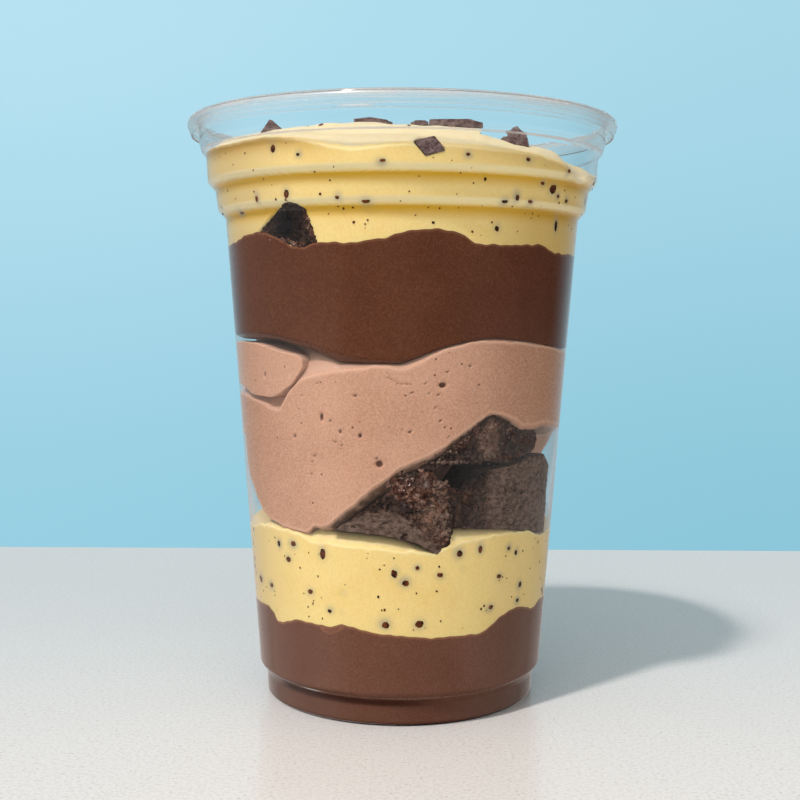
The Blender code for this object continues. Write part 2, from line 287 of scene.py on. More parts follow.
# %% The table
TABLE_SIZE = (1600.0, 1000.0, 30.0)
TABLE_FAR_EDGE = 167.0
TABLE_EDGE_ROUND = 1.5
TABLE_FRONT, TABLE_BACK = (0.815, 0.815, 0.815), (0.615, 0.660, 0.680)
TABLE_FLECK = (0.42, 0.39, 0.37)
TABLE_POLISH = {"Roughness": 0.33, "Specular IOR Level": 0.35, "Coat Weight": 0.35, "Coat Roughness": 0.07}


def deselect():
    bpy.ops.object.select_all(action="DESELECT")


def select_only(piece):
    deselect()
    piece.select_set(True)
    bpy.context.view_layer.objects.active = piece


@contextmanager
def editing(piece):
    """Edit mode on one piece, with all of it selected, for as long as the block lasts."""
    select_only(piece)
    bpy.ops.object.mode_set(mode="EDIT")
    bpy.ops.mesh.select_all(action="SELECT")
    yield
    bpy.ops.object.mode_set(mode="OBJECT")


def apply(piece, kind, **settings):
    """Adds a modifier and applies it."""
    bpy.context.view_layer.objects.active = piece
    added = piece.modifiers.new(kind.lower(), kind)
    for name, value in settings.items():
        setattr(added, name, value)
    bpy.ops.object.modifier_apply(modifier=added.name)


deselect()
bpy.ops.mesh.primitive_cube_add(size=1.0)
table = bpy.context.object
table.name = "table"
table.scale = [length * MM for length in TABLE_SIZE]
table.location = (0.0, (TABLE_FAR_EDGE - TABLE_SIZE[1] / 2.0) * MM, -TABLE_SIZE[2] / 2.0 * MM)
bpy.ops.object.transform_apply(location=True, rotation=False, scale=True)
apply(table, "BEVEL", width=TABLE_EDGE_ROUND * MM, segments=3)

stone = new_finish("pale stone")
# Painted light: the table's colour is paler in front and darker and bluer towards the back, a painted shade
# across one plain stone.
flecked = stone.coats(
    TABLE_FRONT, (TABLE_BACK, stone.along("Y").between(-160.0, 120.0)),
    (TABLE_FLECK, stone.grain(0.8, 3.0, 0.7).between(0.42, 0.70) * 0.36),
    (TABLE_FLECK, stone.dots(1.4, 0.35, 0.6) * 0.45),
)
polished = stone.node("ShaderNodeBsdfPrincipled", {}, {"Base Color": flecked} | TABLE_POLISH)
table.data.materials.append(stone.close(polished))
table.visible_glossy = False
print("the table's far edge is", TABLE_FAR_EDGE, "mm behind the cup's axis")

# %% [markdown]
# ## Wrapping a grid round the axis
#
# The cup and every layer in it run all the way round. A spun profile would make each of them
# the same on every side, but a spooned layer is different in each direction. So a piece starts
# as a flat grid: its columns become directions round the axis, close together at the front
# and wider at the back, and its rows follow a cross-section that may differ from column to
# column. The seam and the middle points, which fall together, are then merged.

# %% The wrapping helper
FRONT, FRONT_STEP, BACK_STEP = 76.0, 0.45, 1.3
front = np.linspace(-FRONT, FRONT, round(2 * FRONT / FRONT_STEP) + 1)
back = np.linspace(FRONT, 180.0, round((180.0 - FRONT) / BACK_STEP) + 1)
AROUND = np.concatenate([-back[:0:-1], front, back[1:]])
MERGED = 0.0015
SHARP = 50.0


def get_points(piece):
    """The places of a piece's points, one row each, in millimetres."""
    flat = np.empty(3 * len(piece.data.vertices))
    piece.data.vertices.foreach_get("co", flat)
    return flat.reshape(-1, 3) / MM


def set_points(piece, points):
    """Moves a piece's points to new places, in millimetres."""
    piece.data.vertices.foreach_set("co", (points * MM).ravel())
    piece.data.update()


def to_round(points):
    """Direction, distance from the axis and height of each point."""
    angle = np.degrees(np.arctan2(points[:, 0], -points[:, 1]))
    return angle, np.hypot(points[:, 0], points[:, 1]), points[:, 2]


def to_points(angle, radius, height):
    """The places that directions, distances from the axis and heights give."""
    turn = np.radians(angle)
    return np.stack([radius * np.sin(turn), -radius * np.cos(turn), height], axis=-1)


def close_mesh(piece):
    """Merges what falls together and turns the faces outwards."""
    with editing(piece):
        bpy.ops.mesh.remove_doubles(threshold=MERGED * MM)
        bpy.ops.mesh.normals_make_consistent(inside=False)


def smooth(piece, angle=SHARP):
    """Shades a piece smooth, but for edges sharper than an angle."""
    select_only(piece)
    bpy.ops.object.shade_smooth_by_angle(angle=math.radians(angle))


def rolled(name, radii, heights, around=AROUND):
    """A grid wrapped round the axis, from rows of distances and heights."""
    rows, columns = radii.shape
    deselect()
    bpy.ops.mesh.primitive_grid_add(x_subdivisions=columns - 1, y_subdivisions=rows - 1, size=2.0)
    piece = bpy.context.object
    piece.name = piece.data.name = name
    flat = get_points(piece) * MM
    column = np.rint((flat[:, 0] + 1.0) / 2.0 * (columns - 1)).astype(int)
    row = np.rint((flat[:, 1] + 1.0) / 2.0 * (rows - 1)).astype(int)
    set_points(piece, to_points(around[column], radii[row, column], heights[row, column]))
    return piece


def ease(share):
    """0 under 0 and 1 over 1, with a smooth climb between."""
    share = np.clip(share, 0.0, 1.0)
    return share * share * (3.0 - 2.0 * share)


def bell(off, width):
    """1 where off is 0, and fading over about a width on both sides."""
    return np.exp(-(off / width) ** 2)


def paint(piece, name, values):
    """Keeps a value for each point, which a finish can read."""
    layer = piece.data.attributes.new(name, "FLOAT", "POINT")
    layer.data.foreach_set("value", np.ascontiguousarray(values, np.float32))


def finished(piece, look, slot, *nodes):
    """Gives a piece its finish, and lets it ride in the cup in the place of its nodes."""
    piece.data.materials.clear()
    piece.data.materials.append(look)
    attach(piece, "root")
    if nodes:
        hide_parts(*nodes)
    print(f"{piece.name}: {len(piece.data.polygons)} faces")


print(len(AROUND) - 1, "directions round the cup")

# %% [markdown]
# ## The cup
#
# A clear cold-drink cup is pressed from one warm sheet, so its wall is equally thin all over.
# The sheet's middle surface is drawn from the rolled lip down the stepped wall to the
# pressed-up base, wrapped round the axis, and given its thickness by Solidify. The lip rolls
# outwards and down; under it the neck and two stacking steps are soft S-bends; a shoulder
# near the foot and a raised base stiffen the bottom.

# %% The sheet's middle surface
SHEET = 0.4
HEIGHT = 131.8
RIM_RADIUS = 49.0
LIP_RADIUS = 1.3
LIP_TUCK = (0.4, -1.75)
NECK = (46.2, 126.2)
NECK_CREASE = ((45.75, 124.8), (44.85, 123.5))
UPPER_BAND = (44.65, 123.0, 44.4, 118.2)
LOWER_BAND = (42.6, 115.4, 42.1, 111.9)
BODY = (40.3, 109.2, 33.0, 11.5)
SHOULDER_STEP, SHOULDER_RADIUS, SHOULDER_HEIGHT = 0.2, 1.4, 8.0
FOOT_RADIUS, FOOT_TOP = 31.2, 5.2
FOOT_EDGE = (31.0, 1.0)
FOOT_ROUND = 0.8
REST_RING = (30.2, 26.0)
PUNT_RADIUS, PUNT_HEIGHT, PUNT_INNER = 24.5, 1.2, 12.0
CUP_STEP = 1.2
FINE_ROW, LIP_ROW, FOOT_ROW, NECK_ROW = 0.2, 0.25, 1.0, 0.5
STEP_ROWS = 12


def arc(centre, radius, start, end, steps):
    """Points on an arc of a profile, its angles in degrees from +X."""
    turns = np.radians(np.linspace(start, end, steps + 1))
    return list(zip(centre[0] + radius * np.cos(turns), centre[1] + radius * np.sin(turns)))


def soft_step(upper, lower):
    """A soft S between two points of the wall, as the stacking steps are pressed."""
    share = np.linspace(0.0, 1.0, STEP_ROWS + 1)
    inwards = (1.0 - np.cos(math.pi * share)) / 2.0
    radii = upper[0] + (lower[0] - upper[0]) * inwards
    return list(zip(radii, upper[1] + (lower[1] - upper[1]) * share))


def straight(start, end, spacing=3.0):
    """Points between two points of a profile, without the ends."""
    steps = max(1, round(math.dist(start, end) / spacing))
    shares = [step / steps for step in range(1, steps)]
    return [tuple(np.array(start) + (np.array(end) - np.array(start)) * share) for share in shares]


lip = (RIM_RADIUS - SHEET / 2 - LIP_RADIUS, HEIGHT - SHEET / 2 - LIP_RADIUS)
curl_end = (lip[0] + LIP_RADIUS * LIP_TUCK[0], lip[1] + LIP_RADIUS * LIP_TUCK[1])
shoulder = (BODY[2] - SHOULDER_STEP - SHOULDER_RADIUS, SHOULDER_HEIGHT)
ring = (REST_RING[0], SHEET / 2 + FOOT_ROUND)
foot_top = (FOOT_RADIUS, FOOT_TOP)
wall_line = [NECK] + straight(NECK, NECK_CREASE[0], NECK_ROW) + soft_step(*NECK_CREASE)
wall_line += [UPPER_BAND[:2]] + straight(UPPER_BAND[:2], UPPER_BAND[2:])
wall_line += soft_step(UPPER_BAND[2:], LOWER_BAND[:2])
wall_line += straight(LOWER_BAND[:2], LOWER_BAND[2:]) + soft_step(LOWER_BAND[2:], BODY[:2])
wall_line += straight(BODY[:2], BODY[2:]) + [BODY[2:]]
wall_line += arc(shoulder, SHOULDER_RADIUS, 0.0, -75.0, 8)
wall_line += straight(wall_line[-1], foot_top, FINE_ROW)
wall_line += [foot_top] + straight(foot_top, FOOT_EDGE, FOOT_ROW)
wall_line += arc(ring, FOOT_ROUND, 0.0, -90.0, 6)
base_line = [((REST_RING[0] + REST_RING[1]) / 2, SHEET / 2), (REST_RING[1], SHEET / 2)]
base_line += [(radius, PUNT_HEIGHT) for radius in (PUNT_RADIUS, PUNT_INNER, 0.0)]
bead = arc(lip, LIP_RADIUS, -25.0, 180.0, 22)
lip_line = [curl_end] + straight(curl_end, bead[0], FINE_ROW) + bead
sheet_line = np.array(lip_line + straight(lip_line[-1], NECK, LIP_ROW) + wall_line + base_line)

wall_up = np.array(wall_line)[::-1]


def wall_radius(height, reach=0.0):
    """The radius of the wall's middle surface at a height, and how far past it."""
    return np.interp(height, wall_up[:, 1], wall_up[:, 0]) + reach


print(len(sheet_line), "points from lip to base; the wall is", SHEET, "mm thick")

# %% Wrap and thicken the sheet
cup_around = np.linspace(-180.0, 180.0, round(360.0 / CUP_STEP) + 1)
flat_ring = np.ones_like(cup_around)
cup = rolled("clear_cup", np.outer(sheet_line[:, 0], flat_ring),
             np.outer(sheet_line[:, 1], flat_ring), cup_around)
close_mesh(cup)
apply(cup, "SOLIDIFY", thickness=SHEET * MM, offset=0.0, use_even_offset=True)
close_mesh(cup)
smooth(cup)

# %% [markdown]
# The plastic bends light like any clear plastic, which draws the lip's grey bead, the thin
# lines along the steps and the pale edges at the sides. Left at that, the food inside would
# be dark, because a renderer's lamps don't shine through glass that bends light. So for rays
# on their way to a lamp, and for light bounced off the food, the sheet is mostly transparent,
# less so where it is seen edge on, which gives the cup's clear parts their faint shadow. The
# plastic is set to bend light a little less than real plastic does, so that the far wall's
# lines stay as soft as in the photograph.
#
# Pressed plastic also has a milky bead at its lip and milky lines along its creases. These pale
# lines are partly that, and partly painted highlights and reflections of the light that the
# lip's curl and the creases mirror. On the lip and the shoulder lie a few thin white glints,
# painted highlights. Both are painted on the sheet's points, which stand close together there,
# and a Mix Shader gives way to a pale, rougher plastic.

# %% Clear plastic
PLASTIC, PLASTIC_GLOSS, PLASTIC_BENDS = (0.985, 0.995, 1.0), 0.03, 1.38
MILK_AND_HIGHLIGHT = (0.72, 0.70, 0.69)
BEAD_FROM, BEAD_MILK_AND_REFLECTION = 130.2, 0.18
CREASES = ((131.5, 0.12, 0.55), (130.9, 0.10, 0.5), (130.3, 0.10, 0.4), (129.3, 0.08, 0.35),
           (128.2, 0.08, 0.25), (125.1, 0.09, 0.5), (124.5, 0.12, 0.9), (6.5, 0.10, 0.22))
LIP_LOW, LIP_OUT, WALL_IN = 127.0, 1.5, 0.3
CREASES_END, CREASES_FADE = 105.0, 15.0
GLINTS = ((-12.5, 131.25, 1.6, 0.16), (-11.0, 128.5, 4.2, 0.10), (-37.0, 6.5, 5.0, 0.16))
GLINT = (0.95, 0.95, 0.95)
SHADOW_EDGE = 0.45

angle, radius, height = to_round(get_points(cup))
# Painted highlights: pale lines along the lip and the creases, partly milky plastic, and white glints at a
# few places.
milk_and_highlight_lines = BEAD_MILK_AND_REFLECTION * ease((height - BEAD_FROM) / 0.4)
for level, width, strength in CREASES:
    in_front = ease((CREASES_END - np.abs(angle)) / CREASES_FADE) if level < LIP_LOW else 1.0
    milk_and_highlight_lines = np.maximum(milk_and_highlight_lines, strength * in_front * bell(height - level, width))
glint = np.zeros_like(height)
for where, level, across, upwards in GLINTS:
    on_outside = radius > wall_radius(level) + (LIP_OUT if level > LIP_LOW else -WALL_IN)
    away = ((angle - where) / across) ** 4 + ((height - level) / upwards) ** 2
    glint = np.maximum(glint, on_outside * np.exp(-away))
paint(cup, "milk", np.maximum(milk_and_highlight_lines, glint))
paint(cup, "glint", glint)

clear = new_finish("clear plastic")
uneven = clear.grain(14.0, 2.0, 0.5, clear.stretched((1.0, 1.0, 0.5))).between(0.35, 0.65)
milk = clear.painted("milk") * (0.6 + 0.4 * uneven)
sockets = {"Base Color": PLASTIC, "Roughness": PLASTIC_GLOSS, "IOR": PLASTIC_BENDS}
glass = clear.node("ShaderNodeBsdfPrincipled", {}, sockets | {"Transmission Weight": 1.0})
milk_and_glint_colour = clear.mixed(MILK_AND_HIGHLIGHT, GLINT, clear.painted("glint"))
milky_and_highlight_plastic = clear.node("ShaderNodeBsdfPrincipled", {}, {"Base Color": milk_and_glint_colour, "Roughness": 0.25})
glass = clear.node("ShaderNodeMixShader", {}, {0: milk, 1: glass, 2: milky_and_highlight_plastic})
passing = clear.node("ShaderNodeBsdfTransparent")
edge_on = clear.node("ShaderNodeLayerWeight", {}, {"Blend": 0.5}, output="Facing")
to_lamp = ray_is(clear, "Is Shadow Ray").or_more(ray_is(clear, "Is Diffuse Ray"))
lets_by = to_lamp * (1.0 - edge_on ** 2.0 * SHADOW_EDGE)
finished(cup, clear.close(clear.node("ShaderNodeMixShader", {}, {0: lets_by, 1: glass, 2: passing})),
         "clear_plastic", "cup")

# %% [markdown]
# ## Lines round the cup
#
# Where two layers meet on the wall there is one line round the cup, and both layers use it,
# so that nothing shows between them. A line goes smoothly through a few places without
# overshooting them, and a small ripple keeps it from looking drawn.

# %% A smooth line through a few places
RIPPLES = (23, 37, 59, 83)


class Line:
    """A value for every direction round the cup, through a few places."""

    def __init__(self, *places, ripple=0.0, seed=1):
        angles, values = np.array(sorted(places), float).T
        self.angles = np.concatenate([angles - 360.0, angles, angles + 360.0])
        self.values = np.tile(values, 3)
        slopes = np.diff(self.values) / np.diff(self.angles)
        before, after = slopes[:-1], slopes[1:]
        level = before * after <= 0.0
        mean = 2.0 * before * after / np.where(level, 1.0, before + after)
        self.slopes = np.concatenate([[0.0], np.where(level, 0.0, mean), [0.0]])
        self.ripple = ripple
        self.phases = np.random.default_rng(seed).uniform(0.0, math.tau, len(RIPPLES))

    def __call__(self, angle):
        angle = np.asarray(angle, float)
        spot = np.clip(np.searchsorted(self.angles, angle) - 1, 0, len(self.angles) - 2)
        run = self.angles[spot + 1] - self.angles[spot]
        share = (angle - self.angles[spot]) / run
        ease_in, ease_out = share * share * (3.0 - 2.0 * share), share * (1.0 - share)
        value = self.values[spot] * (1.0 - ease_in) + self.values[spot + 1] * ease_in
        value += run * ease_out * (self.slopes[spot] * (1.0 - share) - self.slopes[spot + 1] * share)
        for waves, phase in zip(RIPPLES, self.phases):
            value = value + self.ripple / len(RIPPLES) * np.sin(np.radians(waves * angle) + phase)
        return value


def even(value):
    """A line that is level all round."""
    return Line((-120, value), (0, value), (120, value))


def shifted(line, by):
    """A line with another one added to it."""
    return Line(*[(angle, float(line(angle) + by(angle))) for angle in range(-178, 180, 3)])


BASE_TOP = Line(
    (-74, 22.5), (-62, 22.9), (-56, 22.0), (-53, 20.2), (-39, 21.9), (-26, 21.6), (-21, 22.4),
    (-10, 21.1), (0, 20.6), (12, 20.0), (30, 20.0), (36, 21.4), (41, 23.2), (49, 24.1),
    (62, 22.6), (69, 23.6), (100, 21.5), (140, 23.5), (180, 21.0), (230, 23.0),
    ripple=0.16, seed=4,
)
CREAM_LINE = Line(
    (-72, 40.0), (-60, 41.4), (-49, 41.5), (-38, 41.0), (-33, 39.9), (-17, 39.5), (-6, 39.1),
    (8, 38.4), (12, 38.2), (16, 39.4), (24, 40.4), (30, 41.0), (39, 41.3), (50, 41.1),
    (64, 39.0), (80, 39.5), (110, 41.0), (150, 42.0), (180, 41.0), (230, 40.0),
    ripple=0.3, seed=5,
)
CREAM_CREST = Line(
    (-63, 41.6), (-53, 43.0), (-24, 42.4), (-2.5, 41.5), (12, 38.9), (18, 43.2), (35, 43.0),
    (64, 39.6), (90, 41.5), (130, 43.0), (180, 42.5), (250, 41.5),
)
MOUSSE_FOOT = Line(
    (-110, 47.0), (-98, 56.0), (-73, 61.7), (-72, 54.2), (-69, 51.5), (-65, 49.1), (-62, 46.7),
    (-57, 44.6), (-51, 43.1), (-44, 42.4), (-35, 41.9), (-31, 43.4), (-27, 43.7), (-20, 46.6),
    (-14, 49.8), (-10, 52.0), (-5, 54.2), (-1, 56.2), (3, 57.7), (9, 59.1), (15, 61.4), (21, 64.2),
    (27, 66.5), (31.5, 67.8), (39, 66.5), (47, 64.5), (58, 64.7), (74, 63.3), (90, 62.0),
    (112, 52.0), (135, 42.5), (180, 41.8), (225, 42.3),
    ripple=0.25, seed=6,
)
MOUSSE_LINE = Line(
    (-88, 70.2), (-75, 70.3), (-64, 69.8), (-55, 68.9), (-45, 67.6), (-41, 70.3), (-38, 72.3),
    (-34, 74.1), (-31, 75.0), (-25, 75.8), (-13, 76.9), (-7, 77.4), (1, 77.0), (6, 78.3),
    (10, 79.7), (16, 81.3), (26, 82.6), (34, 82.5), (46, 81.9), (60, 80.9), (75, 80.0),
    (100, 80.2), (140, 82.0), (180, 83.0), (230, 82.0), (252, 80.5), (263, 78.0),
    ripple=0.2, seed=7,
)
MOUSSE_CREST = Line(
    (-73, 82.5), (-49, 82.7), (-31, 80.8), (-23, 79.2), (-20, 78.4), (-6, 78.2), (-1, 78.2),
    (3, 78.9), (8, 80.2), (13, 81.4), (20, 82.4), (30, 83.2), (46, 82.5), (75, 80.6),
    (100, 80.8), (140, 82.6), (180, 83.6), (230, 82.8), (260, 82.5),
)
PUDDING_FOOT = Line(
    (-74, 83.6), (-58, 84.7), (-46, 84.2), (-31, 82.7), (-19, 81.2), (-11, 79.8), (-6, 79.2),
    (1, 79.5), (8, 80.8), (17, 82.7), (23, 83.6), (31, 83.8), (43, 82.9), (53, 81.8),
    (75, 80.7), (100, 80.9), (140, 82.8), (180, 83.8), (230, 83.2), (260, 83.3),
    ripple=0.15, seed=8,
)
PUDDING_TOP = Line(
    (-71, 103.4), (-49, 105.3), (-31, 101.8), (-25, 102.7), (-15, 102.6), (-6, 103.4),
    (3, 105.0), (12, 105.3), (17, 104.6), (23, 102.5), (37, 102.5), (46, 103.0), (56, 101.4),
    (78, 101.4), (110, 103.5), (150, 102.0), (190, 105.0), (240, 102.5),
    ripple=0.25, seed=9,
)
HEAP_LINE = Line(
    (-65, 123.9), (-57, 123.7), (-38, 123.9), (-26, 122.7), (-18, 121.2), (-12, 120.5),
    (-6, 121.0), (0, 121.4), (12, 121.4), (21, 121.1), (33, 120.9), (48, 119.6), (57, 117.2),
    (62, 116.8), (70, 118.3), (80, 119.3), (100, 119.5), (130, 121.0), (180, 122.0), (240, 123.0),
    ripple=0.12, seed=10,
)
HEAP_CREST = Line(
    (-90, 126.4), (-60, 126.5), (-40, 126.7), (-26, 126.9), (-16, 127.0), (-2, 126.5),
    (7, 126.1), (22, 126.1), (27, 125.0), (31, 124.2), (35, 123.6), (42, 123.7), (52, 123.3), (60, 122.0),
    (68, 120.8), (80, 120.0), (100, 121.0), (125, 124.5), (160, 126.5), (220, 126.8),
)

# %% [markdown]
# ## A layer between two faces
#
# Each layer was spooned in while soft. It lies flat on the wall between two lines, and at a
# free edge it rounds off: over a tuck inwards it climbs, or sinks, from the line to its crest,
# along a quarter circle or leaving the wall at an angle. Its top and its underside run on from
# there to the middle. A layer's side reaches a tenth of a millimetre into the sheet, so that
# no air shows between the food and the plastic.

# %% Layers from cross-sections
REACH = -0.1
ROW = 0.35
ROUND_ROWS = 12
FACE_ROWS, FACE_CROWD = 20, 0.8
NO_TUCK = 0.05


class Face:
    """A layer's top or underside: its line on the wall, its rounding and its middle."""

    def __init__(self, line, crest=None, tuck=None, middle=None, keeps=0.5, leaves=None):
        self.line = line
        self.leaves = leaves or even(1.0)
        self.crest = crest or line
        self.tuck = tuck or even(NO_TUCK)
        self.middle = middle or (lambda x, y: np.full_like(x, float(np.mean(self.crest(AROUND)))))
        self.keeps = keeps

    def rows(self):
        """Distances and heights from the middle out to the wall."""
        line, crest, tuck = self.line(AROUND), self.crest(AROUND), self.tuck(AROUND)
        inner = wall_radius(line, REACH) - tuck
        radii, heights = [], []
        for share in np.linspace(0.0, 1.0, FACE_ROWS + 1) ** FACE_CROWD:
            radius = inner * share
            places = to_points(AROUND, radius, 0.0 * radius)
            own = ease((share - self.keeps) / (1.0 - self.keeps))
            radii.append(radius)
            heights.append(self.middle(places[:, 0], places[:, 1]) * (1.0 - own) + crest * own)
        for turn in np.linspace(0.0, math.pi / 2, ROUND_ROWS + 1)[1:]:
            radii.append(inner + tuck * math.sin(turn))
            heights.append(line + (crest - line) * math.cos(turn) ** self.leaves(AROUND))
        return np.array(radii), np.array(heights)


def layer(name, under, over):
    """A layer between two faces, with its side on the wall."""
    low_radii, low_heights = under.rows()
    high_radii, high_heights = over.rows()
    low, high = under.line(AROUND), over.line(AROUND)
    count = round(float(np.max(high - low)) / ROW)
    shares = np.linspace(0.0, 1.0, count + 1)[1:-1, None]
    side_heights = low + (high - low) * shares
    radii = np.vstack([low_radii, wall_radius(side_heights, REACH), high_radii[::-1]])
    heights = np.vstack([low_heights, side_heights, high_heights[::-1]])
    piece = rolled(name, radii, heights)
    close_mesh(piece)
    smooth(piece)
    return piece


def pressed_depth(piece):
    """How far each point stands off the wall."""
    _, radius, height = to_round(get_points(piece))
    return wall_radius(height, REACH) - radius


def lumps(x, y, z, size, seed):
    """Soft noise of about size millimetres, from -1 to 1, for arrays of places."""
    places = np.stack(np.broadcast_arrays(x, y, z), axis=-1).reshape(-1, 3) / size + seed * 7.3
    values = [noise.noise(Vector(place)) for place in places]
    return np.array(values).reshape(np.broadcast(x, y, z).shape)


# %% [markdown]
# ## The base pudding
#
# Chocolate pudding was poured in first, so it fills the foot and the shoulder. Its underside
# follows the raised base.

# %% Model the base pudding
FLOOR_REACH, FLOOR_LINE = 0.1, 0.12
FLOOR_RADII = (0.0, 8.0, 16.0, PUNT_RADIUS, REST_RING[1], REST_RING[0] - 0.6)


class Floor(Face):
    """The underside of what fills the foot."""

    def rows(self):
        heights = np.array([PUNT_HEIGHT] * 4 + [SHEET / 2] * 2) + FLOOR_REACH
        level = np.ones_like(AROUND)
        return np.outer(FLOOR_RADII, level), np.outer(heights, level)


pudding_base = layer("pudding_base", Floor(even(SHEET / 2 + FLOOR_LINE)), Face(BASE_TOP))

# %% [markdown]
# Pudding is smooth, dense and slightly shiny. It varies a little in colour where it was
# stirred, holds tiny pale flecks and a few bubbles, and where it presses on the plastic it
# loses its own gloss. So its coat, which stands for the wet skin, is only on its free faces.
# The base pudding also has a small pocket of air under its contact line, shown by a pale rim,
# and the shoulder keeps the light off its foot, which is painted darker.

# %% Pudding finishes
COAT_FROM, COAT_TO = 0.1, 0.6
RIM_LOW, RIM_WIDTH = 0.12, 0.22
FOOT_SHADE, FOOT_BAND, FOOT_DARK = (0.045, 0.016, 0.010), (4.0, 6.3), 1.3
POCKET_AT, POCKET_UNDER, POCKET_SIZE = -25.5, 0.75, (4.2, 0.7)


def food_shader(finish, colour, rough, bump=None, coat=None, sockets=None):
    """A material for food: it shines only by its coat, so nothing shines where it is pressed."""
    values = {"Base Color": colour, "Roughness": rough, "Specular IOR Level": 0.0}
    values |= sockets or {}
    if bump is not None:
        values["Normal"] = bump
    if coat is not None:
        values["Coat Weight"] = coat
    return finish.close(finish.node("ShaderNodeBsdfPrincipled", {}, values))


def off_wall(piece):
    """0 where a piece is pressed on the wall, and 1 where it has left it."""
    return ease((pressed_depth(piece) - COAT_FROM) / (COAT_TO - COAT_FROM))


def paint_rim_highlight(piece, line, bands=(), more=0.0):
    """Paints a highlight on the thin edge just under the line where a piece leaves the wall, and on some
    bands.
    """
    angle, _, height = to_round(get_points(piece))
    rim_highlight = bell(line(angle) - height - RIM_LOW, RIM_WIDTH)
    for low, high in bands:
        rim_highlight = np.maximum(rim_highlight, ease((height - low) / 0.3) * ease((high - height) / 0.5))
    paint(piece, "rim_highlight", np.maximum(rim_highlight, more))


def pudding_look(name, colour, deep, fleck, edge):
    """Stirred pudding: deep patches, pale flecks, small bubbles and a painted highlight along its edge."""
    made = new_finish(name)
    bubbles = made.dots(2.2, 0.05, 0.34)
    spotted = made.coats(
        colour, (deep, made.grain(14.0, 3.0).between(0.35, 0.70)),
        (deep, made.grain(0.9, 4.0, 0.7).between(0.40, 0.62) * 0.7),
        (fleck, made.grain(0.38, 2.0, 0.6).between(0.44, 0.66) * 0.17),
        # A painted highlight along the line where the pudding leaves the wall.
        (edge, made.painted("rim_highlight") * 0.65), (fleck, made.dots(1.3, 0.05, 0.24) * 0.55),
        (deep, bubbles * 0.6), (FOOT_SHADE, made.painted("foot") * 0.5),
    )
    relief = made.bumps(made.grain(3.0, 2.0) * 0.5 - bubbles * 0.5, 0.08)
    return food_shader(made, spotted, 0.42, relief, made.painted("free") * 0.6, {"Coat Roughness": 0.25})


base_look = pudding_look("base pudding", (0.160, 0.074, 0.049), (0.138, 0.060, 0.039), (0.27, 0.17, 0.12),
                         (0.46, 0.20, 0.10))
paint(pudding_base, "free", off_wall(pudding_base))
angle, _, height = to_round(get_points(pudding_base))
under = BASE_TOP(angle) - height
away = np.hypot((angle - POCKET_AT) / POCKET_SIZE[0], (POCKET_UNDER - under) / POCKET_SIZE[1])
air = 0.15 * ease((1.0 - away) / 0.2) + 0.5 * bell(away - 1.0, 0.2)
paint_rim_highlight(pudding_base, BASE_TOP, more=air * (under > 0.0))

# The shade at the foot: faint all round, dark in a band under the step at the front and the
# left, and dark again where the cup stands on the table.
band = ease((FOOT_BAND[1] - height) / 0.3) * ease(height - FOOT_BAND[0])
band *= ease((angle + 62.0) / 12.0) * ease((28.0 - angle) / 30.0)
foot = np.maximum(0.5 * ease(FOOT_BAND[1] + 0.3 - height), 1.8 * band)
paint(pudding_base, "foot", np.maximum(foot, 1.3 * ease((FOOT_DARK - height) / 0.6)))
finished(pudding_base, base_look, "base_pudding", "pudding_base")

# %% [markdown]
# ## The lower cream
#
# A thick layer of vanilla cream with ground seeds in it. Its side is pressed flat; over the
# contact line its top rounds inwards to a crest, lower where the tip of the left brownie
# sinks in.

# %% Model the lower cream
def cream_middle(x, y):
    return 41.6 + 0.5 * lumps(x, y, 0.0 * x, 11.0, 3)


cream_lower = layer(
    "cream_lower", Face(BASE_TOP),
    Face(CREAM_LINE, CREAM_CREST, Line((-60, 3.0), (-20, 3.8), (20, 3.6), (70, 3.0), (180, 3.0)),
         cream_middle, leaves=even(1.7)),
)

# %% [markdown]
# ## The seeds and crumbs in the cream
#
# Dark grains of seed and crumb stand in the cream, some against the plastic and sharp, some a
# little under the surface, where the cream over them makes a soft grey patch. The larger ones
# are placed where they show at the front, and the rest are strewn. Three rough grains are
# modelled, each from a cube cut once each way and pushed out of shape. They are copied, each
# copy turned and sized, and all are joined. There are hundreds, so each has few faces.

# %% Grains of seed and crumb
GRAIN_REACH = 0.06
LOWER_GRAINS = (
    (-28, 37.6, 1.3, 2.4), (-49, 38.2, .9, 1.4), (-41, 38.8, 1.6, 1.2), (-44, 35.1, 1.4, 1.2),
    (-66, 28.4, 1.9, 1.6), (-56, 28.1, 1.4, 1.0), (-34, 28.8, 1.2, 1.0), (-26, 25.1, .9, .8),
    (-5, 23.0, 1.8, 1.6), (7, 23.2, 1.8, 1.6), (-2, 34.2, 1.2, 1.8), (2, 32.1, 1.6, 1.4),
    (6, 35.3, .8, .8), (14, 33.7, 1.2, 1.0), (21, 38.1, 1.5, 1.6), (29, 38.6, .9, 1.6),
    (38, 32.1, 1.2, 1.0), (35, 25.5, 1.2, 1.0), (42, 37.9, .8, .8), (46, 36.7, .9, 1.2),
    (50, 29.2, 1.2, 1.4), (49, 25.7, .9, .8),
)
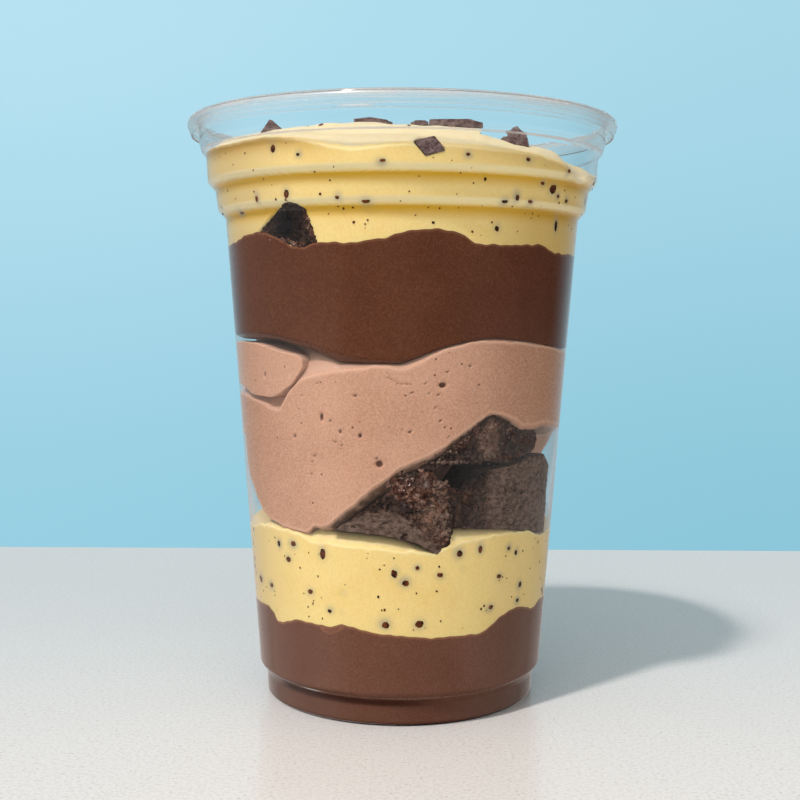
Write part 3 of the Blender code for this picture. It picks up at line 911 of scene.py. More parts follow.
UPPER_GRAINS = (
    (-36, 121.6, 1.2, 1.6), (-28, 120.0, .7, .6), (-5, 118.3, 1.2, .6), (-34, 112.7, 1.2, 1.8),
    (-46, 112.1, .8, 1.4), (-58, 109.8, 1.9, .8), (-10, 110.8, 1.6, 1.0), (-18, 111.5, .8, .8),
    (-23, 112.2, .6, .6), (48, 114.6, 2.4, 2.0), (43, 115.4, 1.1, .8), (34, 112.1, 1.0, 1.4),
    (30, 111.2, 1.4, .8), (39, 111.5, 1.3, .8), (51, 113.1, .9, .8), (56, 112.4, 1.1, .8),
    (35, 119.6, 1.0, .8), (52, 118.3, 1.0, .8), (55, 107.3, 1.0, 2.4), (29, 105.8, .9, 1.2),
    (23, 115.3, .6, .8), (17, 119.8, .8, .6), (9, 106.6, .6, .6), (-14, 106.6, .6, .6),
)
GRAIN_FLAT, GRAIN_SUNK = 0.35, 2.2
LINE_ROOM, TALL = 0.8, (0.7, 1.4)
TINY, MIDDLING, OFF_FRONT = (0.2, 0.5), (0.6, 1.5), 6.0
GRAIN_SIZE, GRAIN_ROUGH = 0.64, 0.5


def new_grain(name, seed, size):
    """One rough grain with two dozen faces."""
    deselect()
    bpy.ops.mesh.primitive_cube_add(size=size * MM)
    grain = bpy.context.object
    grain.name = name
    with editing(grain):
        bpy.ops.mesh.subdivide(number_cuts=1, smoothness=0.8)
    points = get_points(grain)
    push = GRAIN_ROUGH * lumps(*points.T, 0.4, seed)
    set_points(grain, points * (1.0 + push[:, None]))
    return grain


def strewn(name, grains, places):
    """Copies of some grains, one for each matrix, joined into one piece."""
    copies = []
    for number, place in enumerate(places):
        mesh = grains[number % len(grains)].data.copy()
        mesh.transform(place)
        copy = bpy.data.objects.new(name, mesh)
        bpy.context.collection.objects.link(copy)
        copies.append(copy)
    deselect()
    for copy in copies:
        copy.select_set(True)
    bpy.context.view_layer.objects.active = copies[0]
    bpy.ops.object.join()
    joined = bpy.context.object
    joined.name = joined.data.name = name
    smooth(joined, 35.0)
    return joined


def against_wall(angle, height, across, upwards, spin):
    """The matrix that lays a grain flat against the wall."""
    thick = GRAIN_FLAT * min(across, upwards)
    radius = float(wall_radius(height, GRAIN_REACH)) - thick / GRAIN_SUNK
    out = Matrix.Translation(Vector((0.0, -radius, height)) * MM)
    size = Matrix.Diagonal((across, thick, upwards, 1.0))
    tip = Matrix.Rotation(spin, 4, "Y")
    return turned(angle, "Z") @ out @ size @ tip


def scatter(luck, count, low, high, sizes):
    """Places of small grains on the wall between two lines."""
    places = []
    for _ in range(count):
        angle = luck.uniform(-180.0, 180.0)
        height = luck.uniform(float(low(angle)) + LINE_ROOM, float(high(angle)) - LINE_ROOM)
        across = luck.uniform(*sizes)
        places.append((angle, height, across, across * luck.uniform(*TALL)))
    return places


def grain_places(luck, named, low, high, tiny, middling):
    """The named grains, tiny ones all round, and middling ones where the front isn't seen."""
    places = list(named) + scatter(luck, tiny, low, high, TINY)
    behind = scatter(luck, middling, low, high, MIDDLING)
    return places + [place for place in behind if abs(place[0]) > FRONT - OFF_FRONT]


luck = np.random.default_rng(12)
fine_grains = [new_grain(f"grain {seed}", seed, GRAIN_SIZE) for seed in (1, 2, 3)]
lower_places = grain_places(luck, LOWER_GRAINS, BASE_TOP, CREAM_LINE, 150, 110)
upper_places = grain_places(luck, UPPER_GRAINS, PUDDING_TOP, HEAP_LINE, 130, 100)


def laid(places):
    """A matrix for each place, each grain tipped a little."""
    return [against_wall(*place, luck.uniform(0.0, 0.4)) for place in places]


lower_grains = strewn("grains_in_lower_cream", fine_grains, laid(lower_places))

# %% [markdown]
# Every larger grain also leaves its mark on the cream around it, painted on the cream's
# points. So does painted shade, where the wall's steps keep the light off, in the strip just
# under the line where the cream leaves the wall, at the lower right and in lines near the cup's
# sides; and a painted highlight along that line and over the steps' slanted faces.

# %% Paint the cream
HALO_SHARE, HALO_MARGIN = 0.55, 0.5
# Painted shade: dark lines near the cup's sides, shade under the two steps, and shade just under the contact
# line and at the lower right.
EDGE_LINES = ((-76.0, 117.5, 123.0), (-76.5, 110.6, 115.2), (-77.0, 104.0, 108.5), (76.5, 110.6, 115.2))
HALO_FROM = 0.7
# Painted highlight on the steps' slanted faces, which face down.
STEP_FACES = ((116.7, 118.2), (110.4, 111.9))
STEP_SHADES = ((116.6, 116.3, 113.4), (110.3, 109.9, 106.6))
CONTACT_DEPTH, CONTACT_LOW, EDGE_WIDTH = 2.4, 113.0, 2.2


def paint_halos(piece, places, strength):
    """Paints a soft patch round every larger grain."""
    angle, _, height = to_round(get_points(piece))
    halo = np.zeros_like(angle)
    for number, (where, level, across, upwards) in enumerate(places):
        if across < HALO_FROM:
            continue
        arc_away = np.radians(angle - where) * wall_radius(level)
        width, rise = HALO_SHARE * across + HALO_MARGIN, HALO_SHARE * upwards + HALO_MARGIN
        off_x, off_y = 0.25 * math.sin(number * 2.1), 0.25 * math.cos(number * 1.7)
        away = ((arc_away - off_x) / width) ** 2 + ((height - level - off_y) / rise) ** 2
        halo = np.maximum(halo, np.exp(-away) * strength * (0.5 + 0.5 * math.sin(number * 5.3) ** 2))
    paint(piece, "halo", halo)


def paint_step_and_contact_shade(piece, line):
    """Paints shade under each step, and painted shade near the line on both sides, at the lower right and in
    lines near the sides.
    """
    angle, _, height = to_round(get_points(piece))
    step_shade = np.zeros_like(height)
    for start, full, end in STEP_SHADES:
        shade = ease((start - height) / (start - full)) * ease((height - end) / (full - end))
        step_shade = np.maximum(step_shade, shade)
    below = line(angle) - height
    sides = ease((-angle - 10.0) / 30.0) + 0.35 * ease((angle - 5.0) / 20.0)
    contact_shade = bell(np.clip(below, 0.0, None), CONTACT_DEPTH) * sides * (below > -0.2)
    low_right = 0.45 * ease((angle - 22.0) / 25.0) * ease((CONTACT_LOW - height) / 3.0)
    contact_shade = np.maximum(contact_shade, low_right)
    for where, low, high in EDGE_LINES:
        drawn = bell(angle - where, EDGE_WIDTH) * (height > low) * (height < high)
        contact_shade = np.maximum(contact_shade, 0.8 * drawn)
    paint(piece, "step_shade", np.clip(step_shade, 0.0, 1.0))
    paint(piece, "contact_shade", np.clip(contact_shade, 0.0, 1.0))


# Painted light: the lower cream's free top lies in the mousse's shadow, so it takes only a third of the paler
# free colour and coat and keeps most of the brighter pressed colour.
paint(cream_lower, "free", 0.35 * off_wall(cream_lower))
paint_rim_highlight(cream_lower, CREAM_LINE)
paint_halos(cream_lower, lower_places, 0.8)
for name in ("step_shade", "contact_shade"):
    paint(cream_lower, name, np.zeros(len(cream_lower.data.vertices)))

# %% [markdown]
# The cream is a warm pale yellow. Where it is pressed on the plastic it is a little deeper, and
# its free faces are paler and wet. Painted shade darkens it under the steps, just under the line
# where it leaves the wall, at the lower right and along lines near the cup's sides, and makes
# its left side duller; painted highlights run along that line and over the steps' slanted
# faces. Light also goes into it for a millimetre or two, which softens the shadows in its
# folds: that is what subsurface scattering is for.

# %% Cream finish
CREAM, CREAM_FREE, CREAM_DEEP_TONE_AND_SHADE = (0.890, 0.715, 0.310), (0.74, 0.655, 0.42), (0.69, 0.41, 0.035)
CREAM_HIGHLIGHT, CREAM_CONTACT_SHADE, CREAM_SIDE_SHADE = (0.94, 0.84, 0.52), (0.46, 0.25, 0.025), (0.68, 0.53, 0.25)
CREAM_GREY, CREAM_SEED = (0.36, 0.34, 0.27), (0.17, 0.07, 0.03)

vanilla = new_finish("vanilla cream")
free = vanilla.painted("free")
seedy = vanilla.coats(
    CREAM, (CREAM_DEEP_TONE_AND_SHADE, vanilla.grain(9.0, 3.0).between(0.45, 0.85) * 0.16),
    (CREAM_DEEP_TONE_AND_SHADE, vanilla.grain(0.5, 2.0, 0.6).between(0.40, 0.62) * 0.12),
    # Painted shade: the left side of the cream is made duller.
    (CREAM_SIDE_SHADE, (0.0 - vanilla.along("X")).between(20.0, 36.0) * 0.8), (CREAM_FREE, free),
    # Painted shade: darker under the steps, just under the contact line, at the lower right and in lines near
    # the sides.
    (CREAM_DEEP_TONE_AND_SHADE, vanilla.painted("step_shade")), (CREAM_CONTACT_SHADE, vanilla.painted("contact_shade") * 0.85),
    # Painted highlight: paler along the line where the cream leaves the wall and over the steps' slanted
    # faces.
    (CREAM_HIGHLIGHT, vanilla.painted("rim_highlight") * 0.75), (CREAM_GREY, vanilla.painted("halo")),
    (CREAM_GREY, vanilla.dots(6.5, 0.20, 2.2) * 0.10), (CREAM_SEED, vanilla.dots(2.6, 0.10, 0.34) * 0.8),
)
relief = vanilla.grain(2.5, 2.0) * free
cream_look = food_shader(
    vanilla, seedy, 0.45, vanilla.bumps(relief, 0.25), free * 0.25,
    {"Coat Roughness": 0.3, "Subsurface Weight": 0.3, "Subsurface Radius": (1.0, 0.55, 0.2),
     "Subsurface Scale": 1.6 * MM},
)
finished(cream_lower, cream_look, "vanilla_cream", "cream_lower")

SEED_DARK, SEED_BROWN = (0.022, 0.012, 0.009), (0.15, 0.045, 0.018)
seed = new_finish("seed")
seed_colour = seed.mixed(SEED_DARK, SEED_BROWN, seed.grain(1.4, 2.0).between(0.36, 0.60))
seed_look = food_shader(seed, seed_colour, 0.55, seed.bumps(seed.grain(0.25, 3.0), 0.05))
finished(lower_grains, seed_look, "brownie")

# %% [markdown]
# ## The mousse
#
# The light chocolate mousse was spooned in on the left and pushed over to the right, so its
# lower edge climbs from the cream at the left to over the brownies at the right, and leaves
# air at both sides. Its edges round off all along. On the left its top starts low, because
# the dab sits in front of it there.

# %% Model the mousse
def mousse_under(x, y):
    return 44.3 + 0.6 * lumps(x, y, 0.0 * x, 12.0, 5)


def mousse_over(x, y):
    return 83.2 + 0.5 * lumps(x, y, 0.0 * x, 14.0, 6)


under_drop = Line((-110, -2.5), (-73, -2.0), (-62, -0.9), (-31, -0.9), (-20, -2.6), (0, -3.6),
                  (25, -3.0), (32, -0.9), (45, -2.0), (74, -2.4), (120, -1.0), (200, -0.8))
under_tuck = Line((-110, 4.0), (-62, 2.4), (-31, 1.6), (-20, 3.8), (0, 4.8), (25, 4.0), (32, 2.0),
                  (74, 4.0), (120, 1.5), (200, 1.5))
under_leaves = Line((-110, 1.0), (-35, 1.0), (-20, 1.8), (25, 1.8), (40, 1.3), (74, 1.0), (180, 1.0))
under_crest = shifted(MOUSSE_FOOT, under_drop)
over_tuck = Line((-88, 6.0), (-75, 7.0), (-50, 8.5), (-40, 7.5), (-31, 5.0), (-20, 2.8), (0, 2.4),
                 (15, 1.9), (46, 1.2), (180, 1.2), (250, 3.0))
over_leaves = Line((-88, 6.0), (-60, 7.0), (-44, 6.0), (-36, 3.2), (-28, 2.0), (0, 1.6), (60, 1.4),
                   (180, 1.2), (250, 2.0))
mousse = layer(
    "mousse_main",
    Face(MOUSSE_FOOT, under_crest, under_tuck, mousse_under, 0.45, under_leaves),
    Face(MOUSSE_LINE, MOUSSE_CREST, over_tuck, mousse_over, 0.5, over_leaves),
)

# %% [markdown]
# Mousse is whipped, so bubbles sit against the plastic as small dark pits, and a longer tear
# runs near its top. The larger ones are dents in the mesh itself, pushed inwards from the
# wall at their places; the finest are dots in the finish. Under its lower edge the mousse is
# painted darker, partly as a smear of brownie and partly as painted shade where the brownies
# close it in, only near the wall and only where the brownies lie, so that paint fades out
# inwards and sideways. Away from the middle of the cup the mousse is painted deeper, a painted
# shade, and a painted highlight runs along the lines where it leaves the wall.

# %% Dent the mousse
PITS = (
    (-4.2, 75.2, .5, .4), (-3.2, 74.9, .6, .4), (-2.2, 74.5, .6, .4), (-1.0, 74.1, .6, .4),
    (0.4, 73.9, .6, .4), (1.8, 73.9, .7, .45), (3.0, 73.8, .5, .4),
    (13.1, 73.7, 1.5, 1.1), (7.7, 74.0, .6, .5), (11.9, 71.7, .7, .5), (-14.6, 71.4, .9, .6),
    (-13.2, 63.1, .8, 1.0), (-7.0, 57.3, 1.5, 1.4), (-7.7, 58.4, .7, .6), (-26.5, 66.7, .8, 1.8),
    (-23.3, 66.0, .6, .7), (-19.9, 63.8, .7, .9), (-21.7, 61.6, .9, .5), (-29.8, 58.4, .6, .6),
    (-30.7, 57.1, .7, .5), (-31.3, 54.5, .7, .5), (3.4, 72.1, .6, .5), (2.9, 64.0, .9, .6),
    (15.3, 60.8, .6, .5), (-27.5, 73.8, .6, .5), (-37.7, 62.3, .7, .7), (11.0, 69.0, .5, .5),
    (12.8, 66.3, .6, .6), (25.6, 73.6, .6, .6), (22.1, 77.6, .6, .6), (14.6, 76.4, .8, .5),
    (8.9, 72.0, .5, .5), (15.6, 62.9, .5, .5), (-33.5, 71.0, .5, .5), (-19.5, 60.9, .7, .5),
)
PIT_DEEP = 0.7


def dent(piece, pits, deepest):
    """Pushes pits into a piece's side, and paints how deep each point went."""
    points = get_points(piece)
    angle, radius, height = to_round(points)
    on_wall = ease((0.3 - (wall_radius(height, REACH) - radius)) / 0.2)
    deep = np.zeros_like(radius)
    for where, level, across, upwards in pits:
        away = (np.radians(angle - where) * wall_radius(level) / (across / 2)) ** 2
        away += ((height - level) / (upwards / 2)) ** 2
        deep = np.maximum(deep, np.exp(-(away ** 1.5)) * min(1.0, min(across, upwards)))
    deep *= on_wall
    set_points(piece, to_points(angle, radius - deepest * deep, height))
    return deep


SMEAR_DEPTH, SMEAR_END = 15.0, 85.0
MOUSSE_RIM_WIDTH = 0.3
free_mousse = off_wall(mousse)
pit = dent(mousse, PITS, PIT_DEEP)
angle, radius, height = to_round(get_points(mousse))
# Painted highlight: a thin pale line where the mousse leaves the wall, at its top and its foot.
rim_highlight = np.maximum(bell(MOUSSE_LINE(angle) - height - RIM_LOW, MOUSSE_RIM_WIDTH),
                 0.7 * bell(height - MOUSSE_FOOT(angle) - RIM_LOW, MOUSSE_RIM_WIDTH))
# Painted smear and shade under the mousse's lower edge, near the wall where the brownies lie.
smeared_and_shaded = free_mousse * ease((MOUSSE_FOOT(angle) + 0.6 - height) / 0.8)
smeared_and_shaded *= ease((SMEAR_END - np.abs(angle)) / 25.0)
smeared_and_shaded *= ease((SMEAR_DEPTH - wall_radius(height) + radius) / 7.0)
paint(mousse, "free", free_mousse)
paint(mousse, "pit", pit)
paint(mousse, "rim_highlight", rim_highlight * (1.0 - 0.5 * free_mousse))
paint(mousse, "smeared_and_shaded", smeared_and_shaded)

# %% Mousse finish
MOUSSE, MOUSSE_DEEP, MOUSSE_FREE = (0.605, 0.358, 0.248), (0.535, 0.305, 0.206), (0.585, 0.375, 0.280)
MOUSSE_SIDE_SHADE = (0.45, 0.235, 0.145)
MOUSSE_PALE_AND_HIGHLIGHT, MOUSSE_PIT, MOUSSE_SMEAR_AND_SHADE = (0.720, 0.465, 0.345), (0.150, 0.068, 0.046), (0.130, 0.070, 0.042)

whipped = new_finish("light mousse")
off_middle = whipped.along("X") + 4.0
smear_and_shade = whipped.painted("smeared_and_shaded") * (0.45 + 0.5 * whipped.grain(2.4, 3.0).between(0.35, 0.60))
pinholes = (whipped.dots(0.8, 0.14, 0.28) * 0.75).or_more(whipped.dots(1.7, 0.20, 0.50) * 0.9)
tone = whipped.coats(
    MOUSSE, (MOUSSE_DEEP, whipped.grain(16.0, 3.0).between(0.40, 0.72)),
    # Painted shade: the mousse is deeper towards its sides.
    (MOUSSE_SIDE_SHADE, (off_middle * off_middle).between(100.0, 900.0) * 0.9),
    # The pale colour lies in fine random grain, and as a painted highlight where the mousse leaves the wall.
    (MOUSSE_PALE_AND_HIGHLIGHT, whipped.grain(0.42, 2.0, 0.6).between(0.42, 0.62) * 0.42),
    (MOUSSE_PIT, whipped.grain(0.34, 2.0, 0.6).between(0.50, 0.66) * 0.20),
    (MOUSSE_FREE, whipped.painted("free") * 0.8), (MOUSSE_PALE_AND_HIGHLIGHT, whipped.painted("rim_highlight") * 0.75),
    (MOUSSE_SMEAR_AND_SHADE, smear_and_shade), (MOUSSE_PIT, pinholes.or_more(whipped.painted("pit").between(0.15, 0.6))),
)
relief = whipped.grain(1.6, 3.0) * 0.5 - pinholes
mousse_look = food_shader(
    whipped, tone, 0.55, whipped.bumps(relief, 0.12), whipped.painted("free") * 0.45,
    {"Coat Roughness": 0.28, "Subsurface Weight": 0.2, "Subsurface Radius": (1.0, 0.5, 0.3),
     "Subsurface Scale": 1.0 * MM},
)
finished(mousse, mousse_look, "light_mousse", "mousse_main")

# %% [markdown]
# ## Pieces with an outline of their own
#
# The dab and the brownies don't run round the cup. Each is drawn as its outline on the wall,
# unrolled flat: a circle's points are moved onto the outline, and the face is extruded
# inwards. A voxel remesh then gives the block an even, fine skin that can be rounded or torn,
# and last the block is rolled onto the wall.

# %% Blocks from an outline
def unrolled_block(name, outline, depth, voxel):
    """A block with an outline of (direction, height), x across, y inwards, z up."""
    arc_radius = float(wall_radius(np.mean([height for _, height in outline])))
    deselect()
    bpy.ops.mesh.primitive_circle_add(vertices=len(outline), radius=0.01, fill_type="NGON")
    piece = bpy.context.object
    piece.name = piece.data.name = name
    flat = [(math.radians(angle) * arc_radius, 0.0, height) for angle, height in outline]
    set_points(piece, np.array(flat))
    with editing(piece):
        bpy.ops.mesh.extrude_region_move(TRANSFORM_OT_translate={"value": (0.0, depth * MM, 0.0)})
    close_mesh(piece)
    apply(piece, "REMESH", mode="VOXEL", voxel_size=voxel * MM)
    return piece, arc_radius


def roll_onto_wall(piece, points, arc_radius, reach):
    """Rolls a flat block's points round the axis, its front on the wall."""
    angle = np.degrees(points[:, 0] / arc_radius)
    set_points(piece, to_points(angle, wall_radius(points[:, 2], reach) - points[:, 1], points[:, 2]))
    close_mesh(piece)


# %% The dab of mousse
DAB = ((-92, 80.6), (-80, 81.2), (-62, 81.4), (-50, 80.8), (-40, 79.4), (-36, 79.1), (-34, 78.3),
       (-34, 77.0), (-36, 75.6), (-39, 73.5), (-44, 71.7), (-51, 70.7), (-60, 70.8), (-68, 72.3),
       (-80, 72.6), (-92, 73.0), (-95, 77.0))
DAB_DEPTH, DAB_VOXEL, DAB_ROUNDS, DAB_SWELL = 9.0, 0.45, 20, 0.55
DAB_SPREAD, DAB_PITS = (1.04, 1.0, 1.12), ((-51.2, 75.1, 0.7, 1.6), (-38.5, 75.0, 0.7, 0.6))
DAB_RIM = 0.15

dab, dab_arc = unrolled_block("mousse_dab", DAB, DAB_DEPTH, DAB_VOXEL)
apply(dab, "SMOOTH", factor=0.5, iterations=DAB_ROUNDS)
points = get_points(dab)
heart = points.mean(axis=0)
points = heart + (points - heart) * DAB_SPREAD
points[:, 2] += 0.25 * lumps(points[:, 0], points[:, 1], points[:, 2], 5.0, 9)
points[:, 1] = np.maximum(points[:, 1] - DAB_SWELL, 0.0)
roll_onto_wall(dab, points, dab_arc, REACH)
smooth(dab)
dab_free = off_wall(dab)
dab_pit = dent(dab, DAB_PITS, PIT_DEEP)
paint(dab, "free", dab_free)
paint(dab, "pit", dab_pit)
# Painted highlight round the dab's edge.
paint(dab, "rim_highlight", bell(pressed_depth(dab) - DAB_RIM, DAB_RIM))
finished(dab, mousse_look, "light_mousse", "mousse_dab")

# %% [markdown]
# ## The brownies
#
# Torn pieces of brownie fill the space between the lower cream and the mousse. A torn face is
# rough at every size: large lumps, then crumbs, then grains. Where a piece is pushed against
# the plastic it is squashed flat and dark. So each block's skin is pushed in and out along
# its normals by noise of three sizes, and what would stand past the wall is stopped there,
# which makes the flat patches by itself. Each point keeps how far it is squashed, and paint
# marks where a torn face is wet and red and where its crumb is pale. Painted shade darkens every
# face that lies more than about a millimetre and a half in from the wall, to black deeper in,
# and the marked gaps too; the finish also paints the cracks between crumbs darker, as painted
# shade, and small pale flecks on the wet faces, as painted highlights.

# %% Torn blocks
BROWNIE_REACH = 0.0
LEFT = ((-24, 42.5), (-15, 46.4), (-6, 50.4), (-3.5, 52.1), (2.5, 55.0), (7, 56.4), (10.5, 55.6),
        (13, 53.1), (16.5, 52.2), (20, 51.0), (20.5, 48.0), (19, 44.0), (17.5, 40.2), (12.6, 37.8),
        (6, 40.3), (-6, 42.0), (-16, 42.4))
RIGHT = ((20.5, 49.5), (23, 52.0), (27, 55.4), (38.6, 56.0), (45, 56.6), (50, 57.6), (59.6, 57.7),
         (66, 54.6), (65, 50.5), (66, 45.9), (67, 39.0), (55, 40.6), (37.7, 42.4), (22.8, 43.2),
         (18.4, 43.6), (19.8, 47))
UPPER = ((31.5, 67.2), (27, 65.2), (20, 62.0), (14, 59.2), (9.5, 57.5), (5.5, 55.9), (11, 55.8), (17, 56.8),
         (23.2, 57.1), (30.8, 57.5), (38.6, 56.5), (45.3, 57.4), (54.7, 58.9), (53.4, 63.2), (44.1, 64.1),
         (37.3, 65.3))
IN_CREAM = ((-47, 106.5), (-43.5, 108.2), (-40, 109.9), (-36.8, 110.8), (-34, 111.3), (-31.5, 110.9),
            (-30, 110.0), (-28.6, 108.2), (-27.3, 105.8), (-25.6, 102.6), (-26, 101.3), (-30, 101.2),
            (-36, 102.2), (-43, 102.8), (-50.5, 103.6), (-50, 105.0))
VOXEL, TORN_ROUNDS = 0.33, 4
COARSE, LARGE, GRAINY = 4.2, 1.8, 0.95
CALM_EDGE, FLAT_DEEP, PRESSED_TO = 1.5, (4.5, 2.5), 0.25
DARK_FROM, DARK_OVER = 1.6, 3.0
OUTSIDE_BACK = 0.9
PLAIN_FILM, TORN_SHARP = 0.12, 60.0


def depth_inside(outline, angle, height):
    """How far inside an outline on the wall each point is, in millimetres."""
    corners = np.array(outline, float)
    arc_radius = wall_radius(corners[:, 1].mean())
    corners[:, 0] = np.radians(corners[:, 0]) * arc_radius
    x, z = np.radians(angle) * arc_radius, height
    nearest, crossings = np.full_like(x, 1e9), np.zeros_like(x)
    for start, end in zip(corners, np.roll(corners, -1, axis=0)):
        run = end - start
        share = np.clip(((x - start[0]) * run[0] + (z - start[1]) * run[1]) / (run @ run), 0.0, 1.0)
        nearest = np.minimum(nearest, np.hypot(x - start[0] - share * run[0], z - start[1] - share * run[1]))
        spans = (start[1] > z) != (end[1] > z)
        level = start[0] + run[0] * (z - start[1]) / (run[1] if run[1] else 1e-9)
        crossings += spans & (x < level)
    return np.where(crossings % 2 == 1, nearest, -nearest)


def torn(name, outline, depth, seed, coarse, fine, recess, flat=None, **marks):
    """A torn block against the wall. flat says where it is squashed, from 0 to 1, and each
    mark is painted round a place: direction, height and how far it goes in each."""
    piece, arc_radius = unrolled_block(name, outline, depth, VOXEL)
    apply(piece, "SMOOTH", factor=0.5, iterations=TORN_ROUNDS)
    points = get_points(piece)
    normals = np.empty(3 * len(points))
    piece.data.vertices.foreach_get("normal", normals)
    normals = normals.reshape(-1, 3)
    x, y, z = points.T
    flatness = flat(np.degrees(x / arc_radius), z) if flat else 0.0 * x
    push = coarse * (lumps(x, y, z, COARSE, seed) + 0.7 * lumps(x, y, z, LARGE, seed + 1))
    push += fine * (2.6 * np.abs(lumps(x, y, z, GRAINY, seed + 2)) - 0.6)
    inside = depth_inside(outline, np.degrees(x / arc_radius), z)
    push *= 0.35 + 0.65 * ease(inside / CALM_EDGE)
    push *= 1.0 - flatness * ease((FLAT_DEEP[0] - y) / FLAT_DEEP[1])
    points = points + normals * push[:, None]
    points[:, 1] += ease((1.2 - y) / 1.2) * (1.0 - flatness) * recess
    outside = -depth_inside(outline, np.degrees(points[:, 0] / arc_radius), points[:, 2])
    points[:, 1] = np.maximum(points[:, 1], OUTSIDE_BACK * ease(outside / 0.3))
    roll_onto_wall(piece, points, arc_radius, BROWNIE_REACH)
    smooth(piece, TORN_SHARP)
    angle, radius, height = to_round(get_points(piece))
    depth_now = wall_radius(height, BROWNIE_REACH) - radius
    filmy = PLAIN_FILM + (1.0 - PLAIN_FILM) * (flat(angle, height) if flat else 0.0)
    paint(piece, "pressed", ease((PRESSED_TO - depth_now) / PRESSED_TO) * filmy)
    uneven = 0.75 + 0.5 * lumps(angle / 4.0, height / 2.0, 0.0 * angle, 1.0, seed)
    # Painted shade: faces deeper in from the wall go black, and so do the marked gaps.
    painted = {"dark": ease((depth_now - DARK_FROM) / DARK_OVER)}
    for mark, (where, level, across, upwards) in marks.items():
        away = ((angle - where) / across) ** 2 + ((height - level) / upwards) ** 2
        painted[mark] = np.maximum(painted.get(mark, 0.0), np.exp(-away ** 2) * uneven)
    for mark, values in painted.items():
        paint(piece, mark, values)
    return piece


WEDGE_EDGE = Line((-60, 46.0), (-19.4, 45.0), (-10.5, 47.0), (-4.6, 47.4), (3.3, 45.6), (7.9, 43.1),
                  (13.2, 39.5), (30, 32.0), (180, 40.0))


def flat_wedge(angle, height):
    """The left brownie's lower left face is squashed on the plastic."""
    return ease((WEDGE_EDGE(angle) - height) / 1.5 + 0.5)


def flat_right(angle, _):
    """The right brownie is squashed all over, but for its left edge."""
    return ease((angle - 24.0) / 10.0)


brownie_left = torn("brownie_left", LEFT, 16.0, 3, 0.9, 0.7, 0.5, flat_wedge,
                    moist=(4.0, 51.5, 8.0, 3.0), pale=(11.0, 47.0, 5.5, 6.5))
brownie_right = torn("brownie_right", RIGHT, 15.0, 11, 0.6, 0.35, 0.3, flat_right,
                     dark=(19.0, 54.8, 11.0, 3.0))
brownie_upper = torn("brownie_upper", UPPER, 14.0, 23, 0.8, 0.45, 0.5, pale=(31.0, 61.6, 4.2, 4.0))
brownie_top = torn("brownie_in_cream", IN_CREAM, 7.0, 31, 0.6, 0.5, 0.4, dark=(-37.0, 106.8, 6.0, 3.4))
BROWNIES = (brownie_left, brownie_right, brownie_upper, brownie_top)

# %% [markdown]
# The piece pressed into the upper cream has its own pocket there, and so has the chip that
# stands against the wall: the cream's side is pushed inwards inside the piece's outline.

# %% Room for a piece in a layer's side
POCKET, POCKET_EDGE = 3.0, 0.9


def make_room(piece, outline, depth, edge):
    """Pushes a layer's side inwards inside an outline, over a soft edge."""
    angle, radius, height = to_round(get_points(piece))
    on_wall = ease((1.0 - (wall_radius(height, REACH) - radius)) / 0.5)
    push = depth * ease(depth_inside(outline, angle, height) / edge) * on_wall
    set_points(piece, to_points(angle, radius - push, height))


# %% Brownie finish
CRUMB, CRUMB_MID, CRUMB_LIGHT = (0.018, 0.009, 0.007), (0.115, 0.066, 0.049), (0.340, 0.215, 0.160)
CRUMB_RED, CRUMB_PALE, CRUMB_WET_HIGHLIGHT = (0.170, 0.062, 0.040), (0.300, 0.170, 0.120), (0.52, 0.44, 0.43)
SQUASHED, SQUASHED_DARK, BLACK_FLECK_AND_SHADE = (0.200, 0.143, 0.116), (0.066, 0.046, 0.037), (0.004, 0.004, 0.005)
CRUMB_WIDTH = 0.8

cake = new_finish("brownie")
where = {"Vector": cake.place(), "Scale": 1.0 / (CRUMB_WIDTH * MM)}
between_crumbs = cake.node("ShaderNodeTexVoronoi", {}, where)
crumb_luck = cake.node("ShaderNodeTexVoronoi", {}, where, output="Color")
moist, pale, pressed = cake.painted("moist"), cake.painted("pale"), cake.painted("pressed")
chosen = crumb_luck.between(0.35, 0.65) * cake.grain(0.7, 3.0, 0.7).between(0.40, 0.60)
streaky = cake.grain(1.6, 6.0, 0.75, cake.stretched((1.0, 1.0, 1.6))).between(0.38, 0.62)
gaps = cake.grain(1.8, 3.0, 0.6, cake.stretched((1.0, 1.0, 2.2))).between(0.60, 0.66)
film = cake.coats(SQUASHED, (SQUASHED_DARK, streaky), (BLACK_FLECK_AND_SHADE, gaps * 0.8))
crumb = cake.coats(
    CRUMB, (CRUMB_PALE, (pale + moist * 0.5) * 0.9),
    (CRUMB_MID, cake.grain(1.8, 5.0, 0.75).between(0.42, 0.58) * 0.5),
    (CRUMB_LIGHT, chosen * (0.18 + pale * 0.9)),
    (CRUMB_RED, moist * cake.grain(1.2, 3.0, 0.7).between(0.40, 0.58)),
    # Painted shade: the cracks between crumbs are darker.
    (CRUMB, between_crumbs.between(0.48, 0.80) * (0.9 - pale * 0.6)),
    # Painted highlight: small pale flecks on the wet faces.
    (CRUMB_WET_HIGHLIGHT, moist * cake.grain(1.1, 4.0, 0.7).between(0.55, 0.62) * 0.9),
    (film, pressed * 0.9), (BLACK_FLECK_AND_SHADE, cake.painted("dark") * 1.5),
)
relief = (cake.grain(0.8, 4.0, 0.65) * 0.6 - between_crumbs * 0.7) * (1.0 - pressed * 0.97)
brownie_look = food_shader(cake, crumb, 0.75 - 0.4 * moist, cake.bumps(relief, 0.8), moist * 0.9,
                           {"Coat Roughness": 0.22})
for piece, node in zip(BROWNIES, ("brownie_left", "brownie_right", "brownie_upper", "brownie_in_cream")):
    finished(piece, brownie_look, "brownie", node)

